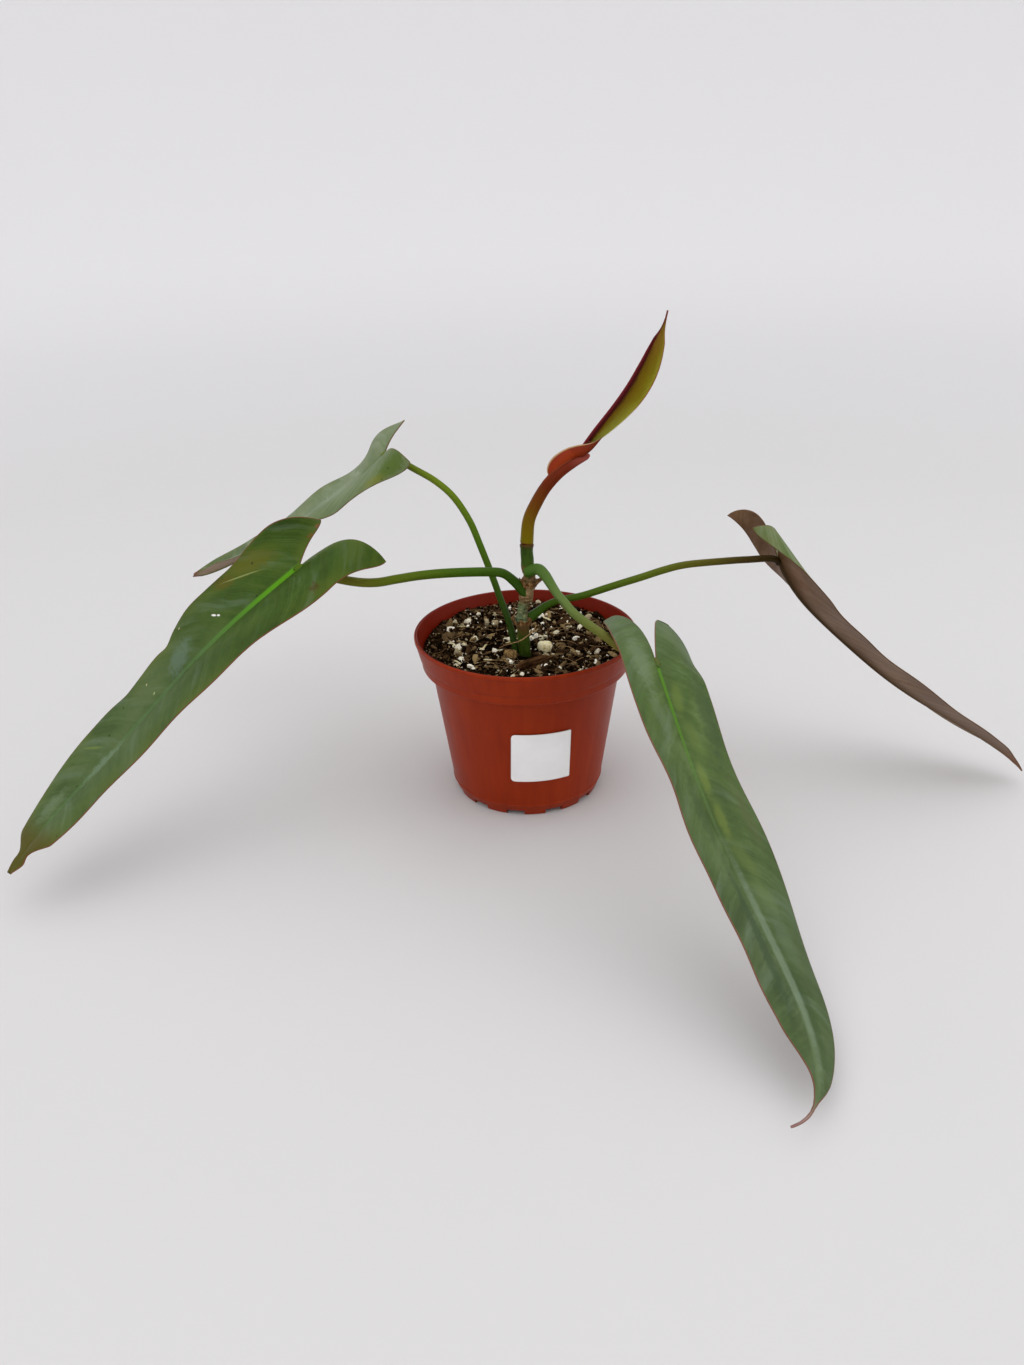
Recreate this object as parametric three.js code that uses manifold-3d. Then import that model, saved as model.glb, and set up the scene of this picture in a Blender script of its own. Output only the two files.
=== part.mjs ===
// A potted philodendron with long arrow-shaped leaves: a plastic nursery pot with a white
// label, potting mix, a stem, four mature leaves, and a new leaf that comes out of its sheath.
// Millimetres, +Z up. The origin is the middle of the pot's foot, and the front is -Y.
// Angles round the pot are counted from the front towards +X.
import * as THREE from "three";
import { mergeVertices } from "three/addons/utils/BufferGeometryUtils.js";
import Module from "manifold-3d";

const wasm = await Module();
wasm.setup();

// Driving dimensions
const GAP = 0.3; // clearance between pieces that touch

const POT_HEIGHT = 77.2;
const RIM_RADIUS = 50;
const BAND_HEIGHT = 14.8;
const BAND_FOOT_RADIUS = 46.9;
const BODY_TOP_RADIUS = 43;
const CHAMFER_RADIUS = 35.1;
const CHAMFER_HEIGHT = 5.4;
const FOOT_RADIUS = 33.4;
const WALL = 1.3;
const FLOOR_UNDER = 2.4;
const FLOOR_TOP = 3.9;
const PAD_RADIUS = 9;
const RIM_ROUND = 0.6;
const POT_SIDES = 48;
const BODY_TOP = POT_HEIGHT - BAND_HEIGHT;

const NOTCH_COUNT = 12;
const NOTCH_FIRST = 19.5; // degrees
const NOTCH_WIDTH = 8;
const NOTCH_HEIGHT = 2.6;
const DRAIN_INSET = 4.6; // from the foot's edge to the middle of a hole in the floor
const DRAIN_LENGTH = 4;

const LABEL_TURN = 8.1; // degrees from the front to its middle
const LABEL_WIDTH = 26.2;
const LABEL_BOTTOM = 20.3;
const LABEL_HEIGHT = 25.4;
const LABEL_THICKNESS = 0.4;

const SOIL_TOP = 70.5;
const SOIL_SEED = 7;
const PERLITE_COUNT = 50;
const BARK_COUNT = 26;

const STEM_TOP = 121.6;
const BLADE_THICKNESS = 0.7;
const MIDRIB_DEPTH = 1.3;

const degrees = THREE.MathUtils.degToRad;

// A number between 0 and 1 from a small seeded generator.
function randomSource(seed) {
  let state = seed;
  return () => {
    state = (state * 1664525 + 1013904223) % 4294967296;
    return state / 4294967296;
  };
}

// Rows of [position, value, value, ...]: the values at a position on one smooth curve.
function through(rows, position) {
  const last = rows.length - 1;
  let i = 0;
  while (i < last - 1 && position >= rows[i + 1][0]) i += 1;
  const step = rows[i + 1][0] - rows[i][0];
  const t = THREE.MathUtils.clamp((position - rows[i][0]) / step, 0, 1);
  const slope = (k, c) => {
    const before = rows[Math.max(k - 1, 0)];
    const after = rows[Math.min(k + 1, last)];
    return (after[c] - before[c]) / (after[0] - before[0]);
  };
  const h0 = 2 * t ** 3 - 3 * t ** 2 + 1;
  const h1 = t ** 3 - 2 * t ** 2 + t;
  const h2 = 3 * t ** 2 - 2 * t ** 3;
  const h3 = t ** 3 - t ** 2;
  return rows[0].slice(1).map((_, k) => {
    const c = k + 1;
    const ends = h0 * rows[i][c] + h2 * rows[i + 1][c];
    return ends + step * (h1 * slope(i, c) + h3 * slope(i + 1, c));
  });
}

// A closed geometry as a solid that can be joined and cut.
function solidOf(geometry) {
  const plain = new THREE.BufferGeometry();
  plain.setAttribute("position", geometry.getAttribute("position").clone());
  if (geometry.index) plain.setIndex(geometry.index.clone());
  const merged = mergeVertices(plain, 1e-4);
  return new wasm.Manifold(
    new wasm.Mesh({
      numProp: 3,
      vertProperties: merged.attributes.position.array,
      triVerts: new Uint32Array(merged.index.array),
    }),
  );
}

function geometryOf(solid) {
  const mesh = solid.getMesh();
  const geometry = new THREE.BufferGeometry();
  geometry.setAttribute("position", new THREE.BufferAttribute(mesh.vertProperties, 3));
  geometry.setIndex(new THREE.BufferAttribute(mesh.triVerts, 1));
  geometry.computeVertexNormals();
  return geometry;
}

// The largest of a solid's separate bodies.
function largestBody(solid) {
  return solid.decompose().reduce((a, b) => (b.volume() > a.volume() ? b : a));
}

// A closed surface from a list of triangles, each three points.
function surface(triangles) {
  const points = triangles.flat();
  return new THREE.BufferGeometry().setFromPoints(points);
}

// Triangles over a row of rings of points. The end rings are closed, or the row is a loop.
// The rings run counter-clockwise seen from the far end of the row.
function skin(rings, capped) {
  const triangles = [];
  const sides = rings[0].length;
  const spans = capped ? rings.length - 1 : rings.length;
  for (let i = 0; i < spans; i += 1) {
    const a = rings[i];
    const b = rings[(i + 1) % rings.length];
    for (let j = 0; j < sides; j += 1) {
      const k = (j + 1) % sides;
      triangles.push([a[j], a[k], b[k]], [a[j], b[k], b[j]]);
    }
  }
  if (capped) {
    const first = rings[0];
    const last = rings[rings.length - 1];
    for (let j = 1; j < sides - 1; j += 1) {
      triangles.push([first[0], first[j + 1], first[j]], [last[0], last[j], last[j + 1]]);
    }
  }
  return triangles;
}

// A closed tube along a smooth route. radiusAt(t, point, angle) gives its radius.
function tube(route, steps, sides, radiusAt) {
  const path = new THREE.CatmullRomCurve3(route.map((p) => new THREE.Vector3(...p)));
  const frames = path.computeFrenetFrames(steps, false);
  const rings = frames.normals.map((normal, i) => {
    const centre = path.getPointAt(i / steps);
    return Array.from({ length: sides }, (_, j) => {
      const angle = (2 * Math.PI * j) / sides;
      const radius = radiusAt(i / steps, centre, angle);
      return centre
        .clone()
        .addScaledVector(normal, radius * Math.cos(angle))
        .addScaledVector(frames.binormals[i], radius * Math.sin(angle));
    });
  });
  return solidOf(surface(skin(rings, true)));
}

// A profile of [radius, height] pairs turned round the Z axis.
function turned(profile, sides) {
  const points = profile.map(([radius, height]) => new THREE.Vector2(radius, height));
  return solidOf(new THREE.LatheGeometry(points, sides).rotateX(Math.PI / 2));
}

// Pot: a thin tapered wall with a taller band at the rim, a raised floor that stands on the
// foot ring and a middle pad, and drain openings round the foot.
function makePot() {
  const wallAt = (radius) => radius - WALL;
  const ringInside = wallAt(FOOT_RADIUS) - 0.4;
  let pot = turned(
    [
      [0, 0],
      [PAD_RADIUS, 0],
      [PAD_RADIUS + 1, FLOOR_UNDER],
      [ringInside, FLOOR_UNDER],
      [ringInside, 0],
      [FOOT_RADIUS, 0],
      [CHAMFER_RADIUS, CHAMFER_HEIGHT],
      [BODY_TOP_RADIUS, BODY_TOP],
      [BAND_FOOT_RADIUS, BODY_TOP],
      [RIM_RADIUS, POT_HEIGHT - RIM_ROUND],
      [RIM_RADIUS - RIM_ROUND / 2, POT_HEIGHT],
      [wallAt(RIM_RADIUS) + RIM_ROUND / 2, POT_HEIGHT],
      [wallAt(RIM_RADIUS), POT_HEIGHT - RIM_ROUND],
      [wallAt(BAND_FOOT_RADIUS), BODY_TOP + WALL],
      [wallAt(BODY_TOP_RADIUS), BODY_TOP + WALL],
      [wallAt(CHAMFER_RADIUS), CHAMFER_HEIGHT],
      [wallAt(CHAMFER_RADIUS) - 0.5, FLOOR_TOP],
      [0, FLOOR_TOP],
    ],
    POT_SIDES,
  );
  const below = 1; // how far a cutting box reaches past the face that it opens
  const notch = new THREE.BoxGeometry(NOTCH_WIDTH, NOTCH_WIDTH, NOTCH_HEIGHT + below);
  notch.translate(0, -FOOT_RADIUS, (NOTCH_HEIGHT - below) / 2);
  const drain = new THREE.BoxGeometry(NOTCH_WIDTH - 2, DRAIN_LENGTH, FLOOR_TOP + 2 * below);
  drain.translate(0, DRAIN_INSET - FOOT_RADIUS, FLOOR_TOP / 2);
  for (let i = 0; i < NOTCH_COUNT; i += 1) {
    const turn = degrees(NOTCH_FIRST + (360 * i) / NOTCH_COUNT);
    pot = pot.subtract(solidOf(notch.clone().rotateZ(turn)));
    pot = pot.subtract(solidOf(drain.clone().rotateZ(turn)));
  }
  return pot;
}

// Radius of the pot's outer wall at a height below the band.
function bodyRadius(z) {
  const share = (z - CHAMFER_HEIGHT) / (BODY_TOP - CHAMFER_HEIGHT);
  return CHAMFER_RADIUS + share * (BODY_TOP_RADIUS - CHAMFER_RADIUS);
}

// Label: a thin white square bent round the wall, with rounded corners.
function makeLabel() {
  const corner = 1.6;
  const columns = [];
  const addColumn = (x, cut) => {
    const place = (y, depth) => {
      const z = LABEL_BOTTOM + y;
      const angle = degrees(LABEL_TURN) + (x - LABEL_WIDTH / 2) / bodyRadius(z);
      const radius = bodyRadius(z) + GAP + depth;
      return new THREE.Vector3(radius * Math.sin(angle), -radius * Math.cos(angle), z);
    };
    columns.push([
      place(cut, 0),
      place(LABEL_HEIGHT - cut, 0),
      place(LABEL_HEIGHT - cut, LABEL_THICKNESS),
      place(cut, LABEL_THICKNESS),
    ]);
  };
  const arc = [0, 0.25, 0.5, 0.75, 1].map((share) => (share * Math.PI) / 2);
  for (const a of arc) addColumn(corner * (1 - Math.cos(a)), corner * (1 - Math.sin(a)));
  const spans = 8;
  const flat = LABEL_WIDTH - 2 * corner;
  for (let i = 1; i < spans; i += 1) addColumn(corner + (flat * i) / spans, 0);
  for (const a of arc.reverse()) {
    addColumn(LABEL_WIDTH - corner * (1 - Math.cos(a)), corner * (1 - Math.sin(a)));
  }
  return solidOf(surface(skin(columns, true)));
}

// Stem: internodes between swollen rings, with the lean that the rings give it.
const STEM_ROUTE = [
  [-0.4, -14.4, 52],
  [-0.5, -14.2, 71],
  [-1.2, -13.8, 84],
  [-1.2, -13.4, 92],
  [0.4, -13.1, 98.5],
  [1.9, -12.7, 105.5],
  [1.2, -12.4, 112],
  [0.9, -12, STEM_TOP],
];
const STEM_RADII = [
  [50, 2.9],
  [83, 2.8],
  [87, 3.4],
  [91, 2.3],
  [95.5, 2.3],
  [98, 3.2],
  [101, 2.7],
  [104, 3.2],
  [108, 2.6],
  [111, 2.9],
  [119, 2.8],
  [121, 3.1],
  [STEM_TOP, 2.7],
];

function makeStem(extra) {
  return tube(STEM_ROUTE, 28, 10, (t, point, angle) => {
    const [radius] = through(STEM_RADII, point.z);
    return radius + extra + 0.12 * Math.sin(3 * angle + point.z);
  });
}

// One leaf blade. Each row of `course` is a station along the midrib: its share of the
// length, the midrib's heading and slope, the half-widths to the left and right of the
// heading, and the fold of each half above level, all angles in degrees. A side's lobe
// reaches back past the junction by a share of the length, and its hook rounds the inner edge.
function bladeShape(leaf) {
  const fine = 160;
  const start = leaf.course[0][0];
  const heading = (s) => {
    const [turn, slope] = through(leaf.course, s).map(degrees);
    const flat = Math.cos(slope);
    return new THREE.Vector3(flat * Math.cos(turn), flat * Math.sin(turn), Math.sin(slope));
  };
  const marks = [];
  const sum = new THREE.Vector3();
  for (let i = 0; i <= fine; i += 1) {
    const s = start + ((1 - start) * i) / fine;
    if (i > 0) {
      const step = heading(s).add(heading(s - (1 - start) / fine)).multiplyScalar(0.5);
      sum.addScaledVector(step, (leaf.length * (1 - start)) / fine);
    }
    marks.push(sum.clone());
  }
  const along = (s) => {
    const at = THREE.MathUtils.clamp(((s - start) / (1 - start)) * fine, 0, fine - 1e-9);
    const i = Math.floor(at);
    return marks[i].clone().lerp(marks[i + 1], at - i);
  };
  const junction = new THREE.Vector3(...leaf.junction);
  const origin = junction.clone().sub(along(0));
  const rib = (s) => along(s).add(origin);

  const halfWidth = (side, s) => through(leaf.course, Math.max(s, 0))[side.column];
  const outer = (side, s) => {
    if (s >= 0) return halfWidth(side, s);
    const back = 1 - Math.min(s / side.lobe, 0) ** 2;
    const widest = halfWidth(side, 0) - side.lobeTip;
    return side.lobeTip + widest * Math.max(back, 0) ** side.lobePoint;
  };
  const inner = (side, s) => {
    if (s >= 0) return 0;
    const back = -s / side.lobe;
    return side.lobeTip * back ** side.lobeHook + side.sinus * 4 * back * (1 - back);
  };
  const point = (side, s, y) => {
    const ahead = heading(s);
    const left = new THREE.Vector3(-ahead.y, ahead.x, 0).normalize();
    const up = ahead.clone().cross(left);
    const width = Math.max(halfWidth(side, s), 4);
    const fold = degrees(through(leaf.course, s)[side.column + 2]);
    const backness = THREE.MathUtils.smoothstep(0.15 - s, 0, 0.15 + side.lobe);
    const curl = degrees(side.curl + (side.lobeCurl - side.curl) * backness) || 1e-4;
    const bend = fold + (curl * y) / width;
    const across = ((Math.sin(bend) - Math.sin(fold)) * width) / curl;
    const turn = 2 * Math.PI * leaf.waves * s;
    const wave = side.wave[0] * Math.sin(turn) + side.wave[1] * Math.cos(turn);
    const ripple = wave * (y / width) ** 2 * THREE.MathUtils.clamp(1.2 - s, 0, 1);
    const rise = ((Math.cos(fold) - Math.cos(bend)) * width) / curl + ripple;
    return rib(s).addScaledVector(left, side.sign * across).addScaledVector(up, rise);
  };
  const normal = (side, s, y) => {
    const d = 0.01;
    const here = Math.min(s, 1 - d);
    const ahead = point(side, here + d, y).sub(point(side, here, y));
    const across = point(side, here, y + d).sub(point(side, here, y));
    return ahead.cross(across).multiplyScalar(side.sign).normalize();
  };
  return { rib, heading, outer, inner, point, normal };
}

// The blade as a solid: both faces are split into triangles alike, and the midrib stands
// out below.
function bladeSolid(leaf) {
  const shape = bladeShape(leaf);
  const sides = [
    { sign: 1, column: 2, ...leaf.left },
    { sign: -1, column: 3, ...leaf.right },
  ];
  const lobeRows = 5;
  const bladeRows = 18;
  const tipward = 1.35; // rows lie closer together towards the tip
  const across = [0, 0.12, 0.45, 0.75, 1];
  const half = BLADE_THICKNESS / 2;
  const triangles = [];
  for (const side of sides) {
    const rows = [];
    for (let i = lobeRows; i > 0; i -= 1) {
      rows.push(-side.lobe * Math.sin((Math.PI * i) / (2 * lobeRows)));
    }
    for (let i = 0; i <= bladeRows; i += 1) rows.push(1 - (1 - i / bladeRows) ** tipward);
    const top = [];
    const bottom = [];
    for (const s of rows) {
      const from = shape.inner(side, s);
      const to = shape.outer(side, s);
      const upper = [];
      const lower = [];
      across.forEach((share, column) => {
        const y = from + share * (to - from);
        const onRib = column === 0 && s >= 0;
        const place = shape.point(side, s, y);
        const up = onRib
          ? shape.normal(sides[0], s, 0).add(shape.normal(sides[1], s, 0)).normalize()
          : shape.normal(side, s, y);
        const depth = onRib ? THREE.MathUtils.lerp(MIDRIB_DEPTH, 0.5, Math.sqrt(s)) : half;
        upper.push(place.clone().addScaledVector(up, half));
        lower.push(place.clone().addScaledVector(up, -depth));
      });
      top.push(upper);
      bottom.push(lower);
    }
    const facing = (a, b, c) => triangles.push(side.sign > 0 ? [a, b, c] : [a, c, b]);
    const last = across.length - 1;
    const end = rows.length - 1;
    for (let i = 0; i < end; i += 1) {
      for (let j = 0; j < last; j += 1) {
        facing(top[i][j], top[i + 1][j], top[i + 1][j + 1]);
        facing(top[i][j], top[i + 1][j + 1], top[i][j + 1]);
        facing(bottom[i][j], bottom[i + 1][j + 1], bottom[i + 1][j]);
        facing(bottom[i][j], bottom[i][j + 1], bottom[i + 1][j + 1]);
      }
      facing(top[i][last], top[i + 1][last], bottom[i + 1][last]);
      facing(top[i][last], bottom[i + 1][last], bottom[i][last]);
      if (i < lobeRows) {
        facing(top[i][0], bottom[i + 1][0], top[i + 1][0]);
        facing(top[i][0], bottom[i][0], bottom[i + 1][0]);
      }
    }
    for (let j = 0; j < last; j += 1) {
      facing(top[end][j], bottom[end][j], bottom[end][j + 1]);
      facing(top[end][j], bottom[end][j + 1], top[end][j + 1]);
    }
  }
  const filled = triangles.filter(
    ([a, b, c]) => a.distanceTo(b) > 1e-3 && b.distanceTo(c) > 1e-3 && c.distanceTo(a) > 1e-3,
  );
  return solidOf(surface(filled));
}

// The petiole's route: its own points, then under the junction and on into the midrib.
function petioleRoute(leaf) {
  const shape = bladeShape(leaf);
  const ahead = shape.heading(0);
  const left = new THREE.Vector3(-ahead.y, ahead.x, 0).normalize();
  const up = ahead.clone().cross(left);
  const under = shape.rib(0).addScaledVector(up, -1);
  const beyond = shape.rib(0.02).addScaledVector(up, -0.8);
  return [...leaf.petiole, under.toArray(), beyond.toArray()];
}

// Petiole radius: a swollen base, a slim middle and a little more at the blade.
function petioleRadius(leaf, t) {
  const [base, middle, tip] = leaf.radii;
  const swell = Math.max(0, 1 - t / leaf.baseShare) ** 1.5;
  return middle + (base - middle) * swell + (tip - middle) * t ** 6;
}

function petioleSolid(leaf, extra) {
  return tube(petioleRoute(leaf), 18, 8, (t) => petioleRadius(leaf, t) + extra);
}

const LEAVES = {
  leaf_left_front: {
    junction: [-93.5, -20.4, 116.4],
    length: 169,
    waves: 4,
    course: [
      [-0.2, -144, -13, 19.5, 21.3, 51, 35],
      [0, -138, -23, 21.8, 22.1, 14, 29],
      [0.2, -156, -35, 20.3, 21, 4, 43],
      [0.45, -157, -42, 18.4, 19, 5, 28],
      [0.7, -147, -37, 15, 16.7, 9, 26],
      [0.9, -127, -30, 12.6, 10.8, 22, 2],
      [0.945, -124.6, -36.2, 4, 3.6, 26.3, -1.2],
      [0.972, -126.6, -31.9, 3.1, 2.8, -0.7, 4.4],
      [1, -126.3, -34.1, 1.3, 1.3, 10.2, 2.4],
    ],
    left: {
      lobe: 0.163,
      lobeTip: 26.7,
      lobePoint: 0.5,
      lobeHook: 2,
      sinus: -1.7,
      lobeCurl: -77,
      curl: -32,
      wave: [-0.4, 0.3],
    },
    right: {
      lobe: 0.12,
      lobeTip: 9.5,
      lobePoint: 1,
      lobeHook: 2,
      sinus: 3.5,
      lobeCurl: 60,
      curl: -16,
      wave: [0, 0.1],
    },
    radii: [2.9, 2, 2],
    baseShare: 0.12,
    petiole: [
      [0.5, -13.1, 99.5],
      [-4.6, -13.5, 105],
      [-9.4, -13.9, 109],
      [-15, -14.3, 110],
      [-30, -15.5, 110.4],
      [-44, -16.4, 110],
      [-54, -17.1, 108.7],
      [-62, -17.8, 107.7],
      [-70, -18.4, 108.2],
      [-80, -19.3, 110.6],
      [-88, -20, 113.7],
    ],
  },
  leaf_right_front: {
    junction: [49.4, -64.3, 90],
    length: 183,
    waves: 3,
    course: [
      [-0.2, -92, 10, 17.5, 16.3, 2, 28],
      [0, -83, -20, 18.2, 16.6, 2, 36],
      [0.2, -72, -40, 18.9, 20.5, 4, 40],
      [0.45, -67, -36, 19.8, 18.9, 5, 40],
      [0.7, -76, -21, 14.6, 14.8, -9, 34],
      [0.8, -86.7, -16.1, 10.9, 11, -16, 37.1],
      [0.88, -98.9, -11.7, 5.9, 5.6, -19.2, 35],
      [0.93, -116.6, -8.4, 1.4, 0.9, -19.4, 37],
      [0.965, -141.2, -2.9, 0.8, 0.8, -25.9, 32.8],
      [1, -159.5, 5.2, 0.8, 0.8, -27.5, 27.2],
    ],
    left: {
      lobe: 0.217,
      lobeTip: 6.8,
      lobePoint: 0.5,
      lobeHook: 2,
      sinus: 1.8,
      lobeCurl: -56,
      curl: -32,
      wave: [1, -0.6],
    },
    right: {
      lobe: 0.225,
      lobeTip: 14.1,
      lobePoint: 0.5,
      lobeHook: 2,
      sinus: -0.6,
      lobeCurl: -57,
      curl: -12,
      wave: [-1.5, 1.1],
    },
    radii: [2.9, 1.8, 2],
    baseShare: 0.3,
    petiole: [
      [1.2, -13.4, 109.5],
      [5.5, -16.3, 111.4],
      [7.9, -19.3, 110.2],
      [10.3, -22.8, 107.5],
      [13.3, -27.5, 104.3],
      [16.2, -31.5, 101.9],
      [19.2, -35.5, 99.3],
      [25.1, -42, 96.6],
      [30.9, -48, 94.1],
      [38, -53.5, 90.5],
    ],
  },
  leaf_left_rear: {
    junction: [-62.5, 45.4, 147.2],
    length: 170,
    waves: 3,
    course: [
      [-0.2, 136, -39, 18.5, 18.4, -45, 63],
      [0, 138, -39, 18.6, 18.4, -26, 59],
      [0.2, 141.6, -33.7, 19.8, 21.2, -11.8, 35.5],
      [0.45, 147.6, -31.5, 18.6, 18.1, 2.3, 31.9],
      [0.7, 150.6, -30.8, 14.2, 14.3, 17.1, 30.6],
      [0.9, 153.8, -23.5, 6.4, 10.6, 50.7, 39.5],
      [1, 157.2, -12.8, 0.7, 1.9, 49.9, 52.3],
    ],
    left: {
      lobe: 0.111,
      lobeTip: 13.8,
      lobePoint: 0.5,
      lobeHook: 2.4,
      sinus: 1.4,
      lobeCurl: -69,
      curl: -30.6,
      wave: [0.7, 1.4],
    },
    right: {
      lobe: 0.086,
      lobeTip: 8.5,
      lobePoint: 1,
      lobeHook: 2,
      sinus: 3.2,
      lobeCurl: -52,
      curl: -3.3,
      wave: [1.3, 0.2],
    },
    radii: [2.4, 1.5, 1.6],
    baseShare: 0.1,
    petiole: [
      [-3.6, -13.6, 56],
      [-4.4, -13, 71],
      [-6.8, -7, 82.4],
      [-11, -0.3, 92.6],
      [-15.2, 6.6, 103.3],
      [-19.4, 12.8, 112.9],
      [-24, 19.1, 122.4],
      [-31, 25.8, 131.6],
      [-38.4, 30.8, 137],
      [-47.5, 36, 141.2],
    ],
  },
  leaf_right: {
    junction: [109, -6, 110.3],
    length: 164,
    waves: 3,
    course: [
      [-0.2, 24, -49, 17.7, 16.7, 74, 32],
      [0, 12.2, -60.9, 19.1, 19.7, 39.5, 38.5],
      [0.2, 11.6, -46, 21.5, 20.7, 25.4, 20.4],
      [0.45, -3, -40.3, 19.6, 20.4, 13.3, 37.5],
      [0.7, -10.2, -29.6, 15, 15.5, 2.4, 41.5],
      [0.9, -17.6, -31.7, 8.6, 8.3, -1.3, 46.1],
      [0.95, -21.6, -37, 3.8, 3.9, 8.6, 46.4],
      [1, -28, -49, 0.8, 0.8, 6, 48],
    ],
    left: {
      lobe: 0.157,
      lobeTip: 19.5,
      lobePoint: 0.6,
      lobeHook: 2.5,
      sinus: 2,
      lobeCurl: -160,
      curl: -40.1,
      wave: [-1.6, 0.4],
    },
    right: {
      lobe: 0.18,
      lobeTip: 15.3,
      lobePoint: 0.5,
      lobeHook: 2,
      sinus: 3,
      lobeCurl: -132,
      curl: -12,
      wave: [-1.1, -0.1],
    },
    radii: [2.4, 1.6, 1.5],
    baseShare: 0.1,
    petiole: [
      [2, -13.2, 88.4],
      [9.4, -12.5, 93.6],
      [15, -12.1, 95.6],
      [23.4, -11.5, 97],
      [36, -10.7, 100.5],
      [49, -9.8, 104.1],
      [58, -9.2, 106.8],
      [66.5, -8.6, 108.7],
      [77, -8, 109.7],
      [95, -7, 110.3],
    ],
  },
};

// A whole leaf is one grown piece: its petiole runs into the midrib, and its base is
// hollowed to the stem that it clasps.
function makeLeaf(leaf) {
  const whole = bladeSolid(leaf).add(petioleSolid(leaf, 0));
  return largestBody(whole.subtract(makeStem(GAP)));
}

// Sheath and new leaf at the top
const SHEATH_ROUTE = [
  [1, -12, STEM_TOP + 2 * GAP],
  [2.1, -12, 131.7],
  [5.5, -12, 139.4],
  [9.6, -12, 146],
  [15, -12, 151.6],
  [21, -12, 155.4],
  [27, -12, 158.4],
];
const SHEATH_RADII = [
  [0, 2.8],
  [0.2, 2.65],
  [0.45, 2.5],
  [0.7, 2.3],
  [0.88, 1.7],
  [1, 1.2],
];
const STALK_ROUTE = [
  [8.6, -12.1, 147.2],
  [13.4, -12.1, 152.6],
  [19, -12, 156.9],
  [23.5, -12, 160.2],
  [27, -11.8, 163.8],
];
const STALK_RADIUS = 1.1;

function sheathSolid(extra) {
  return tube(SHEATH_ROUTE, 18, 10, (t) => through(SHEATH_RADII, t)[0] + extra);
}

function stalkSolid(extra) {
  return tube(STALK_ROUTE, 10, 8, () => STALK_RADIUS + extra);
}

// New blade: a sheet that follows a rib, half open. Its section runs from the margin on the
// right, through the rib, into a narrow roll on the left. The rows give the rib's place and
// the reach of the open half, and the roll keeps a share of that.
const NEW_LEAF_ROWS = [
  [0, 25.4, -11.9, 161.4, 1, 1.1],
  [0.16, 30.6, -11.3, 168.2, 3.9, 1.2],
  [0.33, 37.3, -10.7, 176.5, 6.6, 1],
  [0.49, 43, -10, 184.4, 7.1, 1.05],
  [0.65, 47.6, -9.4, 192.7, 6.6, 0.9],
  [0.81, 52, -8.8, 201.9, 4.2, 0.4],
  [0.91, 55.1, -8.3, 207.6, 1.4, 0.2],
  [1, 56.5, -8, 212.6, 0.3, 0.2],
];

function newBladeSolid() {
  const rows = 14;
  const half = BLADE_THICKNESS / 2;
  const rib = (s) => new THREE.Vector3(...through(NEW_LEAF_ROWS, s).slice(0, 3));
  // A wide roll turns right over, and a narrow one lies flat.
  const section = (open, roll) => {
    const turned = THREE.MathUtils.clamp((roll - 0.4) / 0.6, 0, 1);
    return [
      [open, 0.16 * open],
      [open * 0.66, -0.02 * open],
      [open * 0.33, -0.06 * open],
      [0, 0],
      [-roll * (0.5 + 0.5 * turned), 0.25 * roll * turned],
      [-roll * (1 + 0.35 * turned), roll * turned],
      [-roll * (1.5 - 0.65 * turned), 1.6 * roll * turned],
    ];
  };
  const front = [];
  const back = [];
  for (let i = 0; i <= rows; i += 1) {
    const s = i / rows;
    const [, , , open, roll] = through(NEW_LEAF_ROWS, s);
    const ahead = rib(Math.min(s + 0.01, 1)).sub(rib(Math.max(s - 0.01, 0))).normalize();
    const toViewer = new THREE.Vector3(0, -1, 0).addScaledVector(ahead, ahead.y).normalize();
    const right = ahead.clone().cross(toViewer);
    const outline = section(open, roll).map((pair) => new THREE.Vector2(...pair));
    const facingOut = outline.map((p, k) => {
      const before = outline[Math.max(k - 1, 0)];
      const after = outline[Math.min(k + 1, outline.length - 1)];
      const tangent = after.clone().sub(before).normalize();
      return new THREE.Vector2(tangent.y, -tangent.x);
    });
    const place = (p) =>
      rib(s).addScaledVector(right, p.x).addScaledVector(toViewer, p.y);
    front.push(outline.map((p, k) => place(p.clone().addScaledVector(facingOut[k], half))));
    back.push(outline.map((p, k) => place(p.clone().addScaledVector(facingOut[k], -half))));
  }
  const triangles = [];
  const quad = (a, b, c, d) => triangles.push([a, b, c], [a, c, d]);
  const last = front[0].length - 1;
  for (let i = 0; i < rows; i += 1) {
    for (let j = 0; j < last; j += 1) {
      quad(front[i][j], front[i + 1][j], front[i + 1][j + 1], front[i][j + 1]);
      triangles.push([back[i][j], back[i + 1][j + 1], back[i + 1][j]]);
      triangles.push([back[i][j], back[i][j + 1], back[i + 1][j + 1]]);
    }
    quad(front[i][0], back[i][0], back[i + 1][0], front[i + 1][0]);
    quad(front[i][last], front[i + 1][last], back[i + 1][last], back[i][last]);
  }
  for (let j = 0; j < last; j += 1) {
    quad(front[0][j], front[0][j + 1], back[0][j + 1], back[0][j]);
    quad(front[rows][j], back[rows][j], back[rows][j + 1], front[rows][j + 1]);
  }
  return solidOf(surface(triangles));
}

// The new blade's lobe: a round flap that stands up from the mouth of the sheath.
function newLobeSolid() {
  const shape = new THREE.Shape();
  shape.moveTo(24.5, 159.6);
  shape.quadraticCurveTo(22.6, 163.2, 20.4, 162.2);
  shape.bezierCurveTo(16.4, 160.9, 14.4, 159.6, 12.6, 158.2);
  shape.bezierCurveTo(10.6, 156.6, 9, 153.6, 9.8, 151.2);
  shape.lineTo(12, 148.5);
  shape.lineTo(22, 155.5);
  const flap = new THREE.ExtrudeGeometry(shape, {
    depth: BLADE_THICKNESS,
    bevelEnabled: false,
    curveSegments: 5,
  });
  flap.rotateX(Math.PI / 2);
  flap.translate(0, -11.8 + BLADE_THICKNESS / 2, 0);
  return solidOf(flap);
}

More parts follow.
